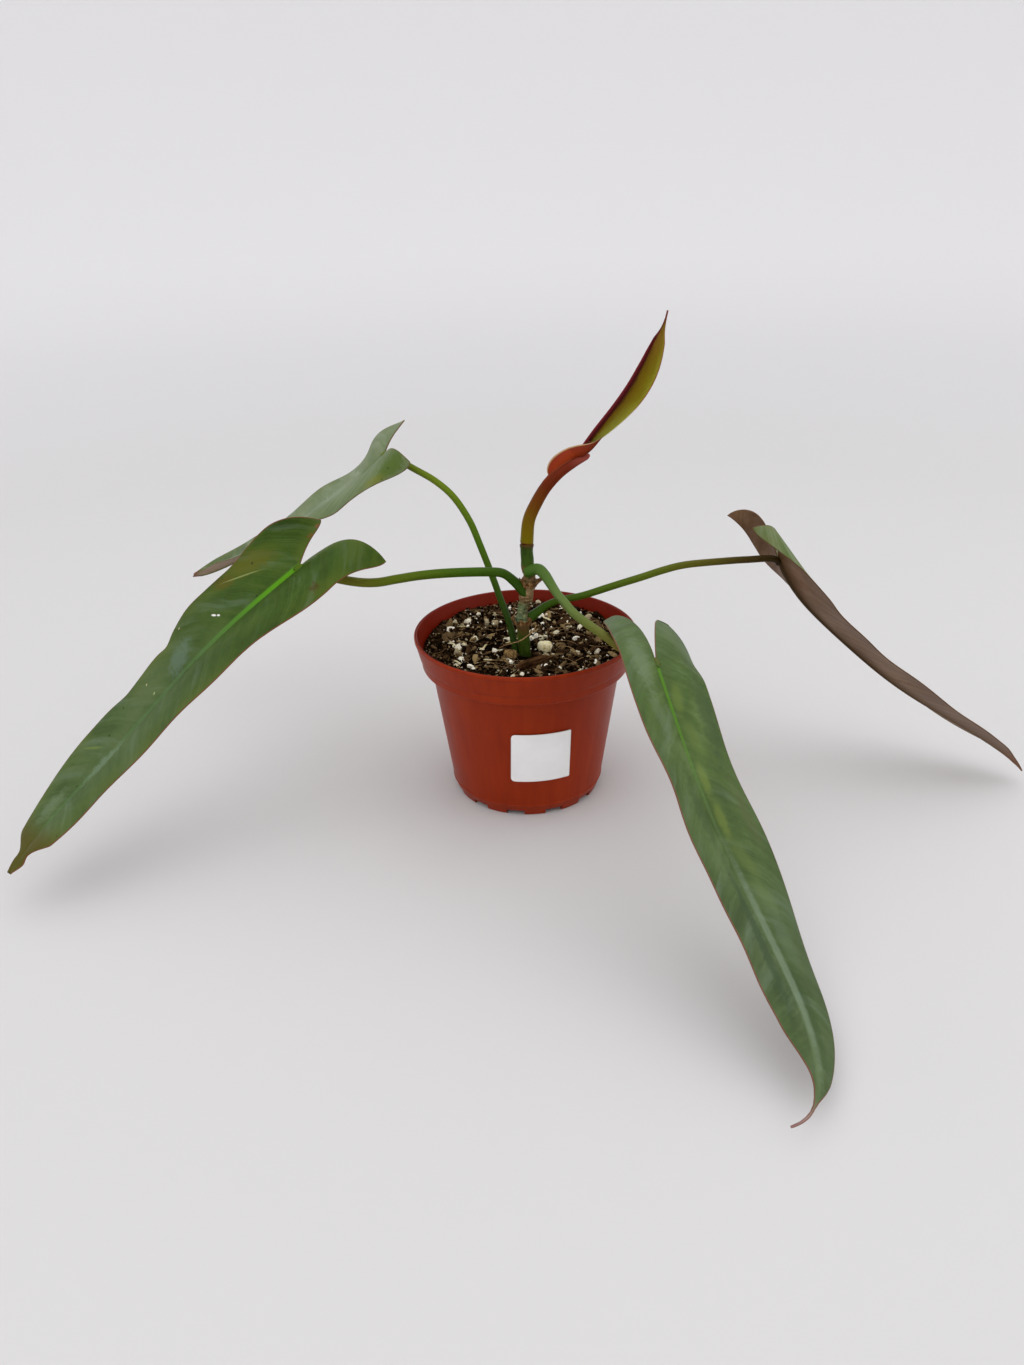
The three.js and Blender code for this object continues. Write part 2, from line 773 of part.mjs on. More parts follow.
function makeSheath() {
  return largestBody(sheathSolid(0).subtract(stalkSolid(GAP)));
}

function makeNewLeaf() {
  const open = newBladeSolid().add(newLobeSolid()).subtract(sheathSolid(GAP));
  return largestBody(open.add(stalkSolid(0)));
}

// Dry sheath remains: a torn paper-thin ring round a node, with a ragged upper edge. It
// reaches out most towards `turn`, and by the `back` share of that on the far side. It is
// open where petioles leave the stem.
const COLLARS = {
  collar_lower: {
    height: 86.5,
    rise: 3,
    reach: 1.6,
    back: 0.9,
    turn: 0.3,
    leaves: ["leaf_right"],
  },
  collar_upper: {
    height: 103.5,
    rise: 3.6,
    reach: 2.8,
    back: 0.2,
    turn: -0.2,
    leaves: ["leaf_left_front", "leaf_right_front"],
  },
};

function makeCollar({ height, rise, reach, back, turn, leaves }) {
  const sides = 20;
  const rings = [];
  const [stemX, stemY] = stemCentre(height);
  const [inner] = through(STEM_RADII, height);
  const base = inner + 0.55;
  for (let j = 0; j < sides; j += 1) {
    const angle = (2 * Math.PI * j) / sides;
    const torn = 0.5 + 0.5 * Math.sin(2 * angle + turn) * Math.cos(5 * angle + 2 * turn);
    const facing = Math.cos(angle - turn);
    const flare = reach * (0.2 + (facing > 0 ? 0.8 : back - 0.2) * facing ** 2);
    const at = (radius, z) =>
      new THREE.Vector3(stemX + radius * Math.cos(angle), stemY + radius * Math.sin(angle), z);
    const tip = base + flare;
    const top = height + rise * (0.35 + 0.65 * torn);
    rings.push([
      at(tip, top + 0.3),
      at(tip + 0.6, top),
      at(base + 0.9, height - 0.4),
      at(base, height),
    ]);
  }
  let collar = solidOf(surface(skin(rings, false))).subtract(makeStem(GAP));
  for (const name of leaves) collar = collar.subtract(petioleSolid(LEAVES[name], GAP));
  return largestBody(collar);
}

function stemCentre(z) {
  const rows = STEM_ROUTE.map(([x, y, height]) => [height, x, y]);
  return through(rows, z);
}

// Loose pieces on the mix: each is a rough lump or chip, part sunk in it.
const LOOSE = {
  perlite_chunk: { at: [8.7, -9.7, 73], half: [3.3, 2.7, 2.8], turn: 20, tilt: 8, seed: 3 },
  bark_chip: { at: [3.5, -25.6, 72.9], half: [10.8, 2.8, 1.8], turn: 44.5, tilt: 4, seed: 5 },
  coir_lump: { at: [-6.9, -17.6, 73.4], half: [3.5, 1.9, 2.4], turn: -8, tilt: 6, seed: 9 },
};

function makeLump(piece, extra) {
  const random = randomSource(piece.seed);
  const lump = new THREE.IcosahedronGeometry(1, 1);
  const merged = mergeVertices(lump.deleteAttribute("normal").deleteAttribute("uv"), 1e-4);
  const place = merged.getAttribute("position");
  const [hx, hy, hz] = piece.half.map((size) => size + extra);
  for (let i = 0; i < place.count; i += 1) {
    const rough = 0.86 + 0.28 * random();
    const square = (v) => Math.sign(v) * Math.abs(v) ** 0.7;
    place.setXYZ(
      i,
      square(place.getX(i)) * hx * rough,
      square(place.getY(i)) * hy * rough,
      square(place.getZ(i)) * hz * rough,
    );
  }
  merged.rotateY(degrees(piece.tilt));
  merged.rotateZ(degrees(piece.turn));
  merged.translate(...piece.at);
  return solidOf(merged);
}

// Dry fibre: one thin strand from under the lower collar, in front of the stem, to the mix.
const FIBRE_ROUTE = [
  [4.6, -14.6, 85.2],
  [3.5, -17.5, 84.5],
  [1.7, -18.5, 82.9],
  [-0.9, -18.8, 80.9],
  [-3.5, -18.5, 79.4],
  [-6.6, -16.3, 77.5],
  [-9.2, -12, 74.8],
  [-11.8, -8, 71.8],
];

function fibreSolid(extra) {
  return tube(FIBRE_ROUTE, 14, 6, () => 0.4 + extra);
}

// Height of the mix: level in the middle, a little lower at the wall, and lumpy.
function soilHeight(x, y) {
  const r = Math.hypot(x, y) / BAND_FOOT_RADIUS;
  const swell = 0.5 * Math.sin(x / 5 + 1) * Math.cos(y / 6) + 0.35 * Math.sin((x + y) / 3.3);
  return SOIL_TOP + 0.6 - 1.4 * r ** 3 + swell;
}

// Potting mix: it fills the pot, with perlite grains and bits of bark standing out of the
// top by a seeded rule, all one body, and with plain holes for what stands in it.
function makeSoil() {
  const inner = (radius) => radius - WALL - GAP;
  const taper = (BAND_FOOT_RADIUS - RIM_RADIUS) / (BAND_HEIGHT - 0.6);
  const topRadius = inner(BAND_FOOT_RADIUS) - taper * (SOIL_TOP - 2 - BODY_TOP - WALL);
  const rings = [0.16, 0.34, 0.52, 0.68, 0.84];
  const top = rings.map((share) => [share * topRadius, SOIL_TOP]).reverse();
  const filling = new THREE.LatheGeometry(
    [
      [0, FLOOR_TOP + GAP],
      [inner(CHAMFER_RADIUS) - 0.6, FLOOR_TOP + GAP],
      [inner(CHAMFER_RADIUS), CHAMFER_HEIGHT + GAP],
      [inner(BODY_TOP_RADIUS), BODY_TOP + WALL + GAP],
      [inner(BAND_FOOT_RADIUS), BODY_TOP + WALL + GAP],
      [topRadius, SOIL_TOP - 2],
      ...top,
      [0, SOIL_TOP],
    ].map(([radius, height]) => new THREE.Vector2(radius, height)),
    POT_SIDES / 2,
  ).rotateX(Math.PI / 2);
  const place = filling.getAttribute("position");
  for (let i = 0; i < place.count; i += 1) {
    if (place.getZ(i) > SOIL_TOP - 1) {
      place.setZ(i, soilHeight(place.getX(i), place.getY(i)));
    }
  }
  let soil = solidOf(filling);

  const random = randomSource(SOIL_SEED);
  const spread = topRadius - 3.2;
  const spot = () => {
    const radius = spread * Math.sqrt(random());
    const angle = 2 * Math.PI * random();
    return [radius * Math.cos(angle), radius * Math.sin(angle)];
  };
  const grains = [];
  for (let i = 0; i < PERLITE_COUNT; i += 1) {
    const size = 0.9 + 1.1 * random() ** 2;
    const grain = new THREE.OctahedronGeometry(1.25 * size, 0);
    grain.rotateX(3 * random()).rotateZ(3 * random());
    const [x, y] = spot();
    grains.push(grain.translate(x, y, soilHeight(x, y) + 0.25 * size));
  }
  for (let i = 0; i < BARK_COUNT; i += 1) {
    const bit = new THREE.BoxGeometry(2.5 + 4 * random(), 1.3 + 1.2 * random(), 1.6);
    bit.rotateY(0.5 * (random() - 0.5)).rotateZ(Math.PI * random());
    const [x, y] = spot();
    grains.push(bit.translate(x, y, soilHeight(x, y) + 0.2));
  }
  soil = wasm.Manifold.union([soil, ...grains.map(solidOf)]);

  soil = soil.subtract(makeStem(GAP)).subtract(petioleSolid(LEAVES.leaf_left_rear, GAP));
  soil = soil.subtract(fibreSolid(GAP));
  for (const piece of Object.values(LOOSE)) soil = soil.subtract(makeLump(piece, 0.45));
  return largestBody(soil);
}

// Materials and the finished group
const finish = (color, roughness) =>
  new THREE.MeshStandardMaterial({ color, roughness, metalness: 0 });
const MATERIALS = {
  pot: finish("#a9492f", 0.45),
  label: finish("#f4f4f4", 0.6),
  soil: finish("#33261c", 0.95),
  perlite: finish("#e6dfb8", 0.9),
  bark: finish("#5a3c28", 0.9),
  fibre: finish("#8a7350", 0.9),
  stem: finish("#5c6a2c", 0.5),
  paper: finish("#9a7a58", 0.85),
  leaf: finish("#46613a", 0.35),
  sheath: finish("#96502e", 0.4),
  newLeaf: finish("#8f8a2c", 0.35),
};

const plant = new THREE.Group();

function place(name, solid, material) {
  const mesh = new THREE.Mesh(geometryOf(solid), material);
  mesh.name = name;
  plant.add(mesh);
}

place("pot", makePot(), MATERIALS.pot);
place("label", makeLabel(), MATERIALS.label);
place("soil", makeSoil(), MATERIALS.soil);
place("perlite_chunk", makeLump(LOOSE.perlite_chunk, 0), MATERIALS.perlite);
place("bark_chip", makeLump(LOOSE.bark_chip, 0), MATERIALS.bark);
place("coir_lump", makeLump(LOOSE.coir_lump, 0), MATERIALS.bark);
place("dry_fibre", fibreSolid(0), MATERIALS.fibre);
place("stem", makeStem(0), MATERIALS.stem);
for (const [name, collar] of Object.entries(COLLARS)) {
  place(name, makeCollar(collar), MATERIALS.paper);
}
for (const [name, leaf] of Object.entries(LEAVES)) place(name, makeLeaf(leaf), MATERIALS.leaf);
place("sheath", makeSheath(), MATERIALS.sheath);
place("new_leaf", makeNewLeaf(), MATERIALS.newLeaf);

export default plant;
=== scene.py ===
import math

import bmesh
import bpy
import numpy as np
from mathutils import Matrix, Vector


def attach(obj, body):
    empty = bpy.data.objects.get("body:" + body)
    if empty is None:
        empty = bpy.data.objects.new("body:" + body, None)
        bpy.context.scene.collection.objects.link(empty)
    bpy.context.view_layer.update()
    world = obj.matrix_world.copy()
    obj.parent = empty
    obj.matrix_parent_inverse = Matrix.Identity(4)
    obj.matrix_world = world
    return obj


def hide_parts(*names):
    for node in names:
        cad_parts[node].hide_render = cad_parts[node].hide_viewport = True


# A potted philodendron with long arrow-shaped leaves, in a plastic nursery pot.
# Shapes are worked out in millimetres in the frame of the solids, and scaled once to metres.

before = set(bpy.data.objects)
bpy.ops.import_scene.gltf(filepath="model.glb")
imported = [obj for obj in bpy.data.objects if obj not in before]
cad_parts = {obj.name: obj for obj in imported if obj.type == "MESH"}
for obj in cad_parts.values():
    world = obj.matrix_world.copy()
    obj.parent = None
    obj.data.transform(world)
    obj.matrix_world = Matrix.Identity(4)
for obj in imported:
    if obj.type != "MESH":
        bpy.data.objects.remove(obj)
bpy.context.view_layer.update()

MM = 0.001

# Pot, label and mix, in millimetres and degrees from the front towards +X
POT_HEIGHT = 77.2
RIM_RADIUS = 50
BAND_HEIGHT = 14.8
BAND_FOOT_RADIUS = 46.9
BODY_TOP_RADIUS = 43
CHAMFER_RADIUS = 35.1
CHAMFER_HEIGHT = 5.4
FOOT_RADIUS = 33.4
WALL = 1.3
FLOOR_UNDER = 2.4
FLOOR_TOP = 3.9
PAD_RADIUS = 9
BODY_TOP = POT_HEIGHT - BAND_HEIGHT
BAND_TAPER = (RIM_RADIUS - BAND_FOOT_RADIUS) / BAND_HEIGHT
NOTCH_COUNT = 12
NOTCH_FIRST = 19.5
NOTCH_WIDTH = 8
NOTCH_HEIGHT = 2.6
DRAIN_INSET = 4.6
DRAIN_LENGTH = 4
LABEL_TURN = 8.1
LABEL_WIDTH = 26.2
LABEL_BOTTOM = 20.3
LABEL_HEIGHT = 25.4
LABEL_LIFT = 0.5
LABEL_FACES = (0.08, 0.34)
LABEL_CORNERS = {(0, 0): 2, (0, 1): 1.8, (1, 0): 0.5, (1, 1): 0.5}
SOIL_TOP = 70.5
STEM_TOP = 121.6

# Camera, in millimetres and degrees
CAMERA_PLACE = (-6.5, -424, 260)
CAMERA_TILT = 26.285
CAMERA_ROLL = -1.27
FILM_WIDTH = 36
FOCAL_SHARE = 1025 / 1365


# Plain maths
def cubic(t, start, end, out, into):
    """The points at t of a cubic curve with the given ends and slopes."""
    ends = (2 * t**3 - 3 * t**2 + 1) * start + (3 * t**2 - 2 * t**3) * end
    return ends + (t**3 - 2 * t**2 + t) * out + (t**3 - t**2) * into


def read_off(position, marks, points):
    """The places at each position on straight lines between the points at the marks."""
    return np.stack([np.interp(position, marks, points[:, k]) for k in range(3)], axis=1)


def through(rows, position):
    """The values at each position on one smooth curve through rows of [position, value, ...]."""
    rows = np.asarray(rows, float)
    position = np.atleast_1d(np.asarray(position, float))
    marks = rows[:, 0]
    values = rows[:, 1:]
    last = len(marks) - 1
    i = np.clip(np.searchsorted(marks, position, side="right") - 1, 0, last - 1)
    before = np.maximum(np.arange(last + 1) - 1, 0)
    after = np.minimum(np.arange(last + 1) + 1, last)
    slopes = (values[after] - values[before]) / (marks[after] - marks[before])[:, None]
    step = (marks[i + 1] - marks[i])[:, None]
    t = np.clip((position - marks[i])[:, None] / step, 0, 1)
    return cubic(t, values[i], values[i + 1], step * slopes[i], step * slopes[i + 1])


def unit(vectors):
    return vectors / np.linalg.norm(vectors, axis=-1, keepdims=True)


def smooth_step(value, low, high):
    t = np.clip((value - low) / (high - low), 0, 1)
    return t * t * (3 - 2 * t)


def full_turn(sides):
    """Evenly spaced angles all round, in radians."""
    return np.linspace(0, 2 * math.pi, sides, endpoint=False)


def roughness_field(points, size, seed, octaves=3):
    """A smooth seeded field between about -1 and 1, with lumps of the given size."""
    random = np.random.default_rng(seed)
    total = np.zeros(len(points))
    waves = 7
    for octave in range(octaves):
        for _ in range(waves):
            direction = unit(random.normal(size=3))
            shift = random.uniform(0, 2 * math.pi)
            turns = points @ direction * (2 * math.pi * 0.5 * 2**octave / size)
            total += np.sin(turns + shift) * 0.55**octave
    return total / (waves**0.5 * 1.4)


def route_points(points, count):
    """Evenly spaced points on a smooth curve through the given ones."""
    points = np.asarray(points, float)
    padded = np.vstack([2 * points[0] - points[1], points, 2 * points[-1] - points[-2]])
    fine = []
    for i in range(len(points) - 1):
        p0, p1, p2, p3 = padded[i : i + 4]
        pairs = ((p0, p1), (p1, p2), (p2, p3))
        d0, d1, d2 = (max(np.linalg.norm(b - a), 1e-4) ** 0.5 for a, b in pairs)
        m1 = ((p1 - p0) / d0 - (p2 - p0) / (d0 + d1) + (p2 - p1) / d1) * d1
        m2 = ((p2 - p1) / d1 - (p3 - p1) / (d1 + d2) + (p3 - p2) / d2) * d1
        t = np.linspace(0, 1, 40, endpoint=False)[:, None]
        fine.append(cubic(t, p1, p2, m1, m2))
    fine = np.vstack([*fine, points[-1:]])
    length = np.concatenate([[0], np.cumsum(np.linalg.norm(np.diff(fine, axis=0), axis=1))])
    even = np.linspace(0, length[-1], count)
    return read_off(even, length, fine)


def carried_frames(path, side):
    """Tangents, sides and ups along a path, carried along it with the least turn."""
    tangents = unit(np.gradient(path, axis=0))
    sides = []
    for tangent in tangents:
        side = side - tangent * (side @ tangent)
        side = side / np.linalg.norm(side)
        sides.append(side)
    sides = np.array(sides)
    return tangents, sides, np.cross(tangents, sides)


# Meshes
def grid_faces(rows, columns, offset=0, loop=False):
    """Faces of a grid of rows of points. With loop, each row closes on itself."""
    faces = []
    reach = columns if loop else columns - 1
    for i in range(rows - 1):
        for j in range(reach):
            k = (j + 1) % columns
            a = offset + i * columns
            b = a + columns
            faces.append((a + j, a + k, b + k, b + j))
    return faces


def turned_over(faces):
    return [tuple(reversed(face)) for face in faces]


def ring_faces(rows, sides):
    """Faces of closed rings one after another, with a cap on the first and on the last."""
    faces = grid_faces(rows, sides, loop=True)
    return [*faces, tuple(reversed(range(sides))), tuple(range((rows - 1) * sides, rows * sides))]


def double_faces(rows, columns, over=1):
    """Faces of two grids that lie back to back. The one that over names is turned over."""
    both = [grid_faces(rows, columns), grid_faces(rows, columns, rows * columns)]
    both[over] = turned_over(both[over])
    return both[0] + both[1]


def mesh_from(name, points, faces, attributes=None):
    mesh = bpy.data.meshes.new(name)
    mesh.from_pydata((np.asarray(points, float) * MM).tolist(), [], faces)
    for key, values in (attributes or {}).items():
        values = np.asarray(values, np.float32)
        kind, field = ("FLOAT", "value") if values.ndim == 1 else ("FLOAT_VECTOR", "vector")
        mesh.attributes.new(key, kind, "POINT").data.foreach_set(field, values.ravel())
    return mesh


def linked(name, data):
    """A new object of the scene for some data."""
    piece = bpy.data.objects.new(name, data)
    bpy.context.scene.collection.objects.link(piece)
    return piece


def finished(name, mesh, materials, nodes=(), sharp=None):
    """Makes a smooth piece of a mesh, on the root body, standing for the given nodes."""
    mesh.shade_smooth()
    if sharp is not None:
        mesh.set_sharp_from_angle(angle=math.radians(sharp))
    for material in materials:
        mesh.materials.append(material)
    piece = linked(name, mesh)
    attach(piece, "root")
    if nodes:
        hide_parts(*nodes)


def welded(mesh, distance=0.002):
    """Joins points that lie together and drops faces with no area."""
    work = bmesh.new()
    work.from_mesh(mesh)
    bmesh.ops.remove_doubles(work, verts=work.verts, dist=distance * MM)
    bmesh.ops.dissolve_degenerate(work, edges=work.edges, dist=distance * MM)
    bmesh.ops.recalc_face_normals(work, faces=work.faces)
    work.to_mesh(mesh)
    work.free()
    return mesh


def merged(name, meshes):
    """One mesh from several."""
    work = bmesh.new()
    for part in meshes:
        work.from_mesh(part)
    mesh = bpy.data.meshes.new(name)
    work.to_mesh(mesh)
    work.free()
    return mesh


def joined(parts):
    """One list of points, faces and attributes from several."""
    points = []
    faces = []
    attributes = {}
    offset = 0
    for part_points, part_faces, part_attributes in parts:
        points.append(part_points)
        faces.extend(tuple(v + offset for v in face) for face in part_faces)
        for key, values in part_attributes.items():
            attributes.setdefault(key, []).append(values)
        offset += len(part_points)
    return np.vstack(points), faces, {k: np.concatenate(v) for k, v in attributes.items()}


def mesh_lists(work):
    """Points and faces of a working mesh, which is freed."""
    points = np.array([v.co[:] for v in work.verts])
    faces = [tuple(v.index for v in face.verts) for face in work.faces]
    work.free()
    return points, faces


def tube_part(path, sides, radius_at, side=(1, 0, 0)):
    """A closed tube, whose radii are radius_at(t, angle)."""
    path = np.asarray(path, float)
    count = len(path)
    _, across, up = carried_frames(path, np.asarray(side, float))
    t = np.linspace(0, 1, count)[:, None]
    angle = full_turn(sides)[None, :]
    radius = np.broadcast_to(radius_at(t, angle), (count, sides))
    aside = across[:, None, :] * (radius * np.cos(angle))[..., None]
    upward = up[:, None, :] * (radius * np.sin(angle))[..., None]
    points = (path[:, None, :] + aside + upward).reshape(-1, 3)
    values = {"along": np.repeat(t[:, 0], sides), "turn": np.tile(angle[0], count)}
    return points, ring_faces(count, sides), values


# Materials
def colour(code):
    """A linear colour from a hex code."""
    parts = [int(code[i : i + 2], 16) / 255 for i in (1, 3, 5)]
    linear = [c / 12.92 if c <= 0.04045 else ((c + 0.055) / 1.055) ** 2.4 for c in parts]
    return (*linear, 1)


class Paint:
    """A material whose nodes are added one at a time. Each method returns an output."""

    def __init__(self, name, roughness=0.5):
        self.material = bpy.data.materials.new(name)
        self.material.use_nodes = True
        self.tree = self.material.node_tree
        self.shader = self.tree.nodes["Principled BSDF"]
        self.shader.inputs["Roughness"].default_value = roughness

    def node(self, kind, feeds=(), **settings):
        made = self.tree.nodes.new("ShaderNode" + kind)
        for key, value in settings.items():
            setattr(made, key, value)
        for key, value in dict(feeds).items():
            self.feed(made.inputs[key], value)
        return made

    def feed(self, socket, value):
        """Joins an output to the socket, or sets its value, which may be a hex code."""
        if isinstance(value, bpy.types.NodeSocket):
            self.tree.links.new(value, socket)
        else:
            socket.default_value = colour(value) if isinstance(value, str) else value

    def place(self):
        return self.node("TexCoord").outputs["Object"]

    def value(self, attribute):
        return self.node("Attribute", attribute_name=attribute).outputs["Fac"]

    def vector(self, attribute):
        return self.node("Attribute", attribute_name=attribute).outputs["Vector"]

    def split(self, vector):
        return self.node("SeparateXYZ", {0: vector}).outputs[:]

    def combine(self, *values):
        return self.node("CombineXYZ", enumerate(values)).outputs[0]

    def math(self, operation, *values, clamp=False):
        return self.node("Math", enumerate(values), operation=operation, use_clamp=clamp).outputs[0]

    def times(self, first, second):
        return self.math("MULTIPLY", first, second)

    def plus(self, first, second):
        return self.math("ADD", first, second)

    def minus(self, first, second, clamp=False):
        return self.math("SUBTRACT", first, second, clamp=clamp)

    def centred(self, noise, amount):
        """A noise moved so that it swings about nought, times the amount."""
        return self.times(self.minus(noise, 0.5), amount)

    def sum_of(self, *terms):
        """The sum of values, each given with its weight."""
        total = self.times(*terms[0])
        for value, weight in terms[1:]:
            total = self.plus(total, self.times(value, weight))
        return total

    def scaled(self, vector, factors):
        return self.node("VectorMath", {0: vector, 1: factors}, operation="MULTIPLY").outputs[0]

    def distance(self, vector):
        """How far a place is from the origin."""
        made = self.node("VectorMath", {0: vector, 1: (0, 0, 0)}, operation="DISTANCE")
        return made.outputs["Value"]

    def turned(self, vector, degrees):
        """The vector turned back by an angle about Z."""
        feeds = {"Vector": vector, "Angle": -math.radians(degrees)}
        return self.node("VectorRotate", feeds).outputs[0]

    def noise(self, vector, scale, detail=3, roughness=0.55, distortion=0):
        """Noise with one scale, or with a scale for each axis."""
        if isinstance(scale, tuple):
            vector, scale = self.scaled(vector, scale), 1
        feeds = {"Vector": vector, "Scale": scale, "Detail": detail}
        feeds.update({"Roughness": roughness, "Distortion": distortion})
        return self.node("TexNoise", feeds).outputs["Fac"]

    def cells(self, vector, scale):
        return self.node("TexVoronoi", {"Vector": vector, "Scale": scale}).outputs["Distance"]

    def spread(self, value, low, high, to_low=0, to_high=1):
        """The value eased from one range onto another."""
        feeds = {0: value, 1: low, 2: high, 3: to_low, 4: to_high}
        return self.node("MapRange", feeds, interpolation_type="SMOOTHSTEP").outputs[0]

    def ramp(self, value, stops):
        made = self.node("ValToRGB", {"Fac": value})
        bands = made.color_ramp.elements
        while len(bands) < len(stops):
            bands.new(0.5)
        for band, (position, code) in zip(bands, stops):
            band.position = position
            band.color = colour(code)
        return made.outputs["Color"]

    def mix(self, share, first, second):
        return self.node("Mix", {0: share, 6: first, 7: second}, data_type="RGBA").outputs[2]

    def finish(self, base, roughness=None, bump=None, depth=0.1, shine=0.12):
        """Joins the colour, the gloss and a bump whose depth is in millimetres."""
        self.feed(self.shader.inputs["Base Color"], base)
        self.shader.inputs["Specular IOR Level"].default_value = shine
        if roughness is not None:
            self.feed(self.shader.inputs["Roughness"], roughness)
        if bump is not None:
            feeds = {"Height": bump, "Distance": depth * MM, "Strength": 1}
            made = self.node("Bump", feeds)
            self.feed(self.shader.inputs["Normal"], made.outputs["Normal"])
        return self.material


# Pot
def rounded(corners, steps=5):
    """An outline through corners, each a radius, a height and how far it is rounded."""
    points = []
    for i, (radius, height, reach) in enumerate(corners):
        if reach == 0:
            points.append((radius, height))
            continue
        here = Vector((radius, height))
        before = (Vector(corners[i - 1][:2]) - here).normalized() * reach
        after = (Vector(corners[i + 1][:2]) - here).normalized() * reach
        for t in np.linspace(0, 1, steps).tolist():
            points.append(tuple((here + before * (1 - t)).lerp(here + after * t, t)))
    return points


def pot_paint():
    paint = Paint("pot_plastic")
    place = paint.place()
    height = paint.split(place)[2]
    streaks = paint.noise(place, (260, 260, 9), 4)
    patches = paint.noise(place, 30, 4)
    shade = paint.sum_of((streaks, 0.6), (patches, 0.4))
    base = paint.ramp(shade, [(0.36, "#852606"), (0.5, "#8c2a07"), (0.64, "#932f09")])
    # Painted shade: the inside of the wall, above the body's top, is darkened.
    radius = paint.distance(paint.scaled(place, (1, 1, 0)))
    wall = (BAND_FOOT_RADIUS - WALL / 2 - BAND_TAPER * BODY_TOP) * MM
    middle = paint.plus(paint.times(height, BAND_TAPER), wall)
    inside = paint.spread(paint.minus(radius, middle), 0.0002, -0.0002)
    inside = paint.times(inside, paint.spread(height, 0.0625, 0.0635))
    base = paint.mix(paint.times(inside, 0.8), base, "#6a1509")
    dust_zone = paint.spread(height, 0.058, 0.078)
    specks = paint.math("LESS_THAN", paint.cells(place, 260), 0.06)
    sparse = paint.spread(paint.noise(place, 60, 2), 0.52, 0.6)
    dust = paint.times(paint.times(specks, sparse), dust_zone)
    base = paint.mix(paint.times(dust, 0.7), base, "#3a1a10")
    scuffs = paint.spread(paint.noise(place, (60, 60, 240), 5, 0.7), 0.62, 0.78)
    base = paint.mix(paint.times(scuffs, 0.1), base, "#c27a5e")
    gloss = paint.spread(patches, 0.3, 0.7, 0.34, 0.44)
    grain = paint.noise(place, 1400, 2)
    relief = paint.sum_of((streaks, 0.5), (grain, 0.35))
    return paint.finish(base, gloss, relief, 0.03, 0.12)


def box_part(size, centre, turn):
    """A box of the given size about a centre, turned about Z by an angle in radians."""
    work = bmesh.new()
    bmesh.ops.create_cube(work, size=1)
    points, faces = mesh_lists(work)
    c, s = math.cos(turn), math.sin(turn)
    return (points * size + centre) @ np.array([[c, s, 0], [-s, c, 0], [0, 0, 1]]), faces, {}


def pot_outline():
    """The pot's wall from the middle of its underside round the rim to the middle of its floor."""
    foot = FOOT_RADIUS - WALL - 0.4
    return rounded([
        (0, 0, 0), (PAD_RADIUS, 0, 0.5), (PAD_RADIUS + 1, FLOOR_UNDER, 0.5),
        (foot, FLOOR_UNDER, 0.4), (foot, 0, 0.4), (FOOT_RADIUS, 0, 0.5),
        (CHAMFER_RADIUS, CHAMFER_HEIGHT - 0.4, 0.2),
        (CHAMFER_RADIUS + 0.3, CHAMFER_HEIGHT, 0.12),
        (CHAMFER_RADIUS + 0.32, CHAMFER_HEIGHT + 0.5, 0.12),
        (CHAMFER_RADIUS + 0.14, CHAMFER_HEIGHT + 0.8, 0.12),
        (BODY_TOP_RADIUS, BODY_TOP, 0.7), (BAND_FOOT_RADIUS, BODY_TOP, 1.1),
        (BAND_FOOT_RADIUS + 0.55, BODY_TOP + 4.4, 0.5), (BAND_FOOT_RADIUS + 0.95, BODY_TOP + 4.9, 0.5),
        (RIM_RADIUS - 0.35, POT_HEIGHT - 2.4, 0.5), (RIM_RADIUS, POT_HEIGHT - 1.9, 0.4),
        (RIM_RADIUS, POT_HEIGHT, 0.75), (RIM_RADIUS - WALL, POT_HEIGHT, 0.6),
        (BAND_FOOT_RADIUS - WALL, BODY_TOP + WALL, 0.8), (BODY_TOP_RADIUS - WALL, BODY_TOP + WALL, 0.8),
        (CHAMFER_RADIUS - WALL, CHAMFER_HEIGHT, 1), (CHAMFER_RADIUS - WALL - 0.8, FLOOR_TOP, 1),
        (0, FLOOR_TOP, 0),
    ])


def make_pot():
    outline = pot_outline()
    sides = 240
    angle = full_turn(sides)
    rings = outline[1:-1]
    points = [[r * math.sin(a), -r * math.cos(a), z] for r, z in rings for a in angle]
    faces = grid_faces(len(rings), sides, loop=True)
    first = len(points)
    points += [[0, 0, outline[0][1]], [0, 0, outline[-1][1]]]
    top = (len(rings) - 1) * sides
    for j in range(sides):
        k = (j + 1) % sides
        faces += [(first, k, j), (first + 1, top + j, top + k)]
    body = linked("pot_body", mesh_from("pot_body", points, faces))

    below = 1
    cuts = []
    for i in range(NOTCH_COUNT):
        turn = math.radians(NOTCH_FIRST + 360 * i / NOTCH_COUNT)
        notch = (NOTCH_WIDTH, NOTCH_WIDTH, NOTCH_HEIGHT + below)
        cuts.append(box_part(notch, (0, -FOOT_RADIUS, (NOTCH_HEIGHT - below) / 2), turn))
        drain = (NOTCH_WIDTH - 2, DRAIN_LENGTH, FLOOR_TOP + 2 * below)
        cuts.append(box_part(drain, (0, DRAIN_INSET - FOOT_RADIUS, FLOOR_TOP / 2), turn))
    cutter = linked("pot_cutter", mesh_from("pot_cutter", *joined(cuts)))
    cut = body.modifiers.new("notches", "BOOLEAN")
    cut.operation = "DIFFERENCE"
    cut.solver = "EXACT"
    cut.use_self = True
    cut.object = cutter
    bevel = body.modifiers.new("edges", "BEVEL")
    bevel.width = 0.25 * MM
    bevel.segments = 2
    bevel.limit_method = "ANGLE"
    bevel.angle_limit = math.radians(50)
    graph = bpy.context.evaluated_depsgraph_get()
    mesh = bpy.data.meshes.new_from_object(body.evaluated_get(graph))
    mesh.name = "pot_shell"
    for spare in (body, cutter):
        bpy.data.objects.remove(spare)
    finished("pot_shell", mesh, [pot_paint()], ["pot"], sharp=38)


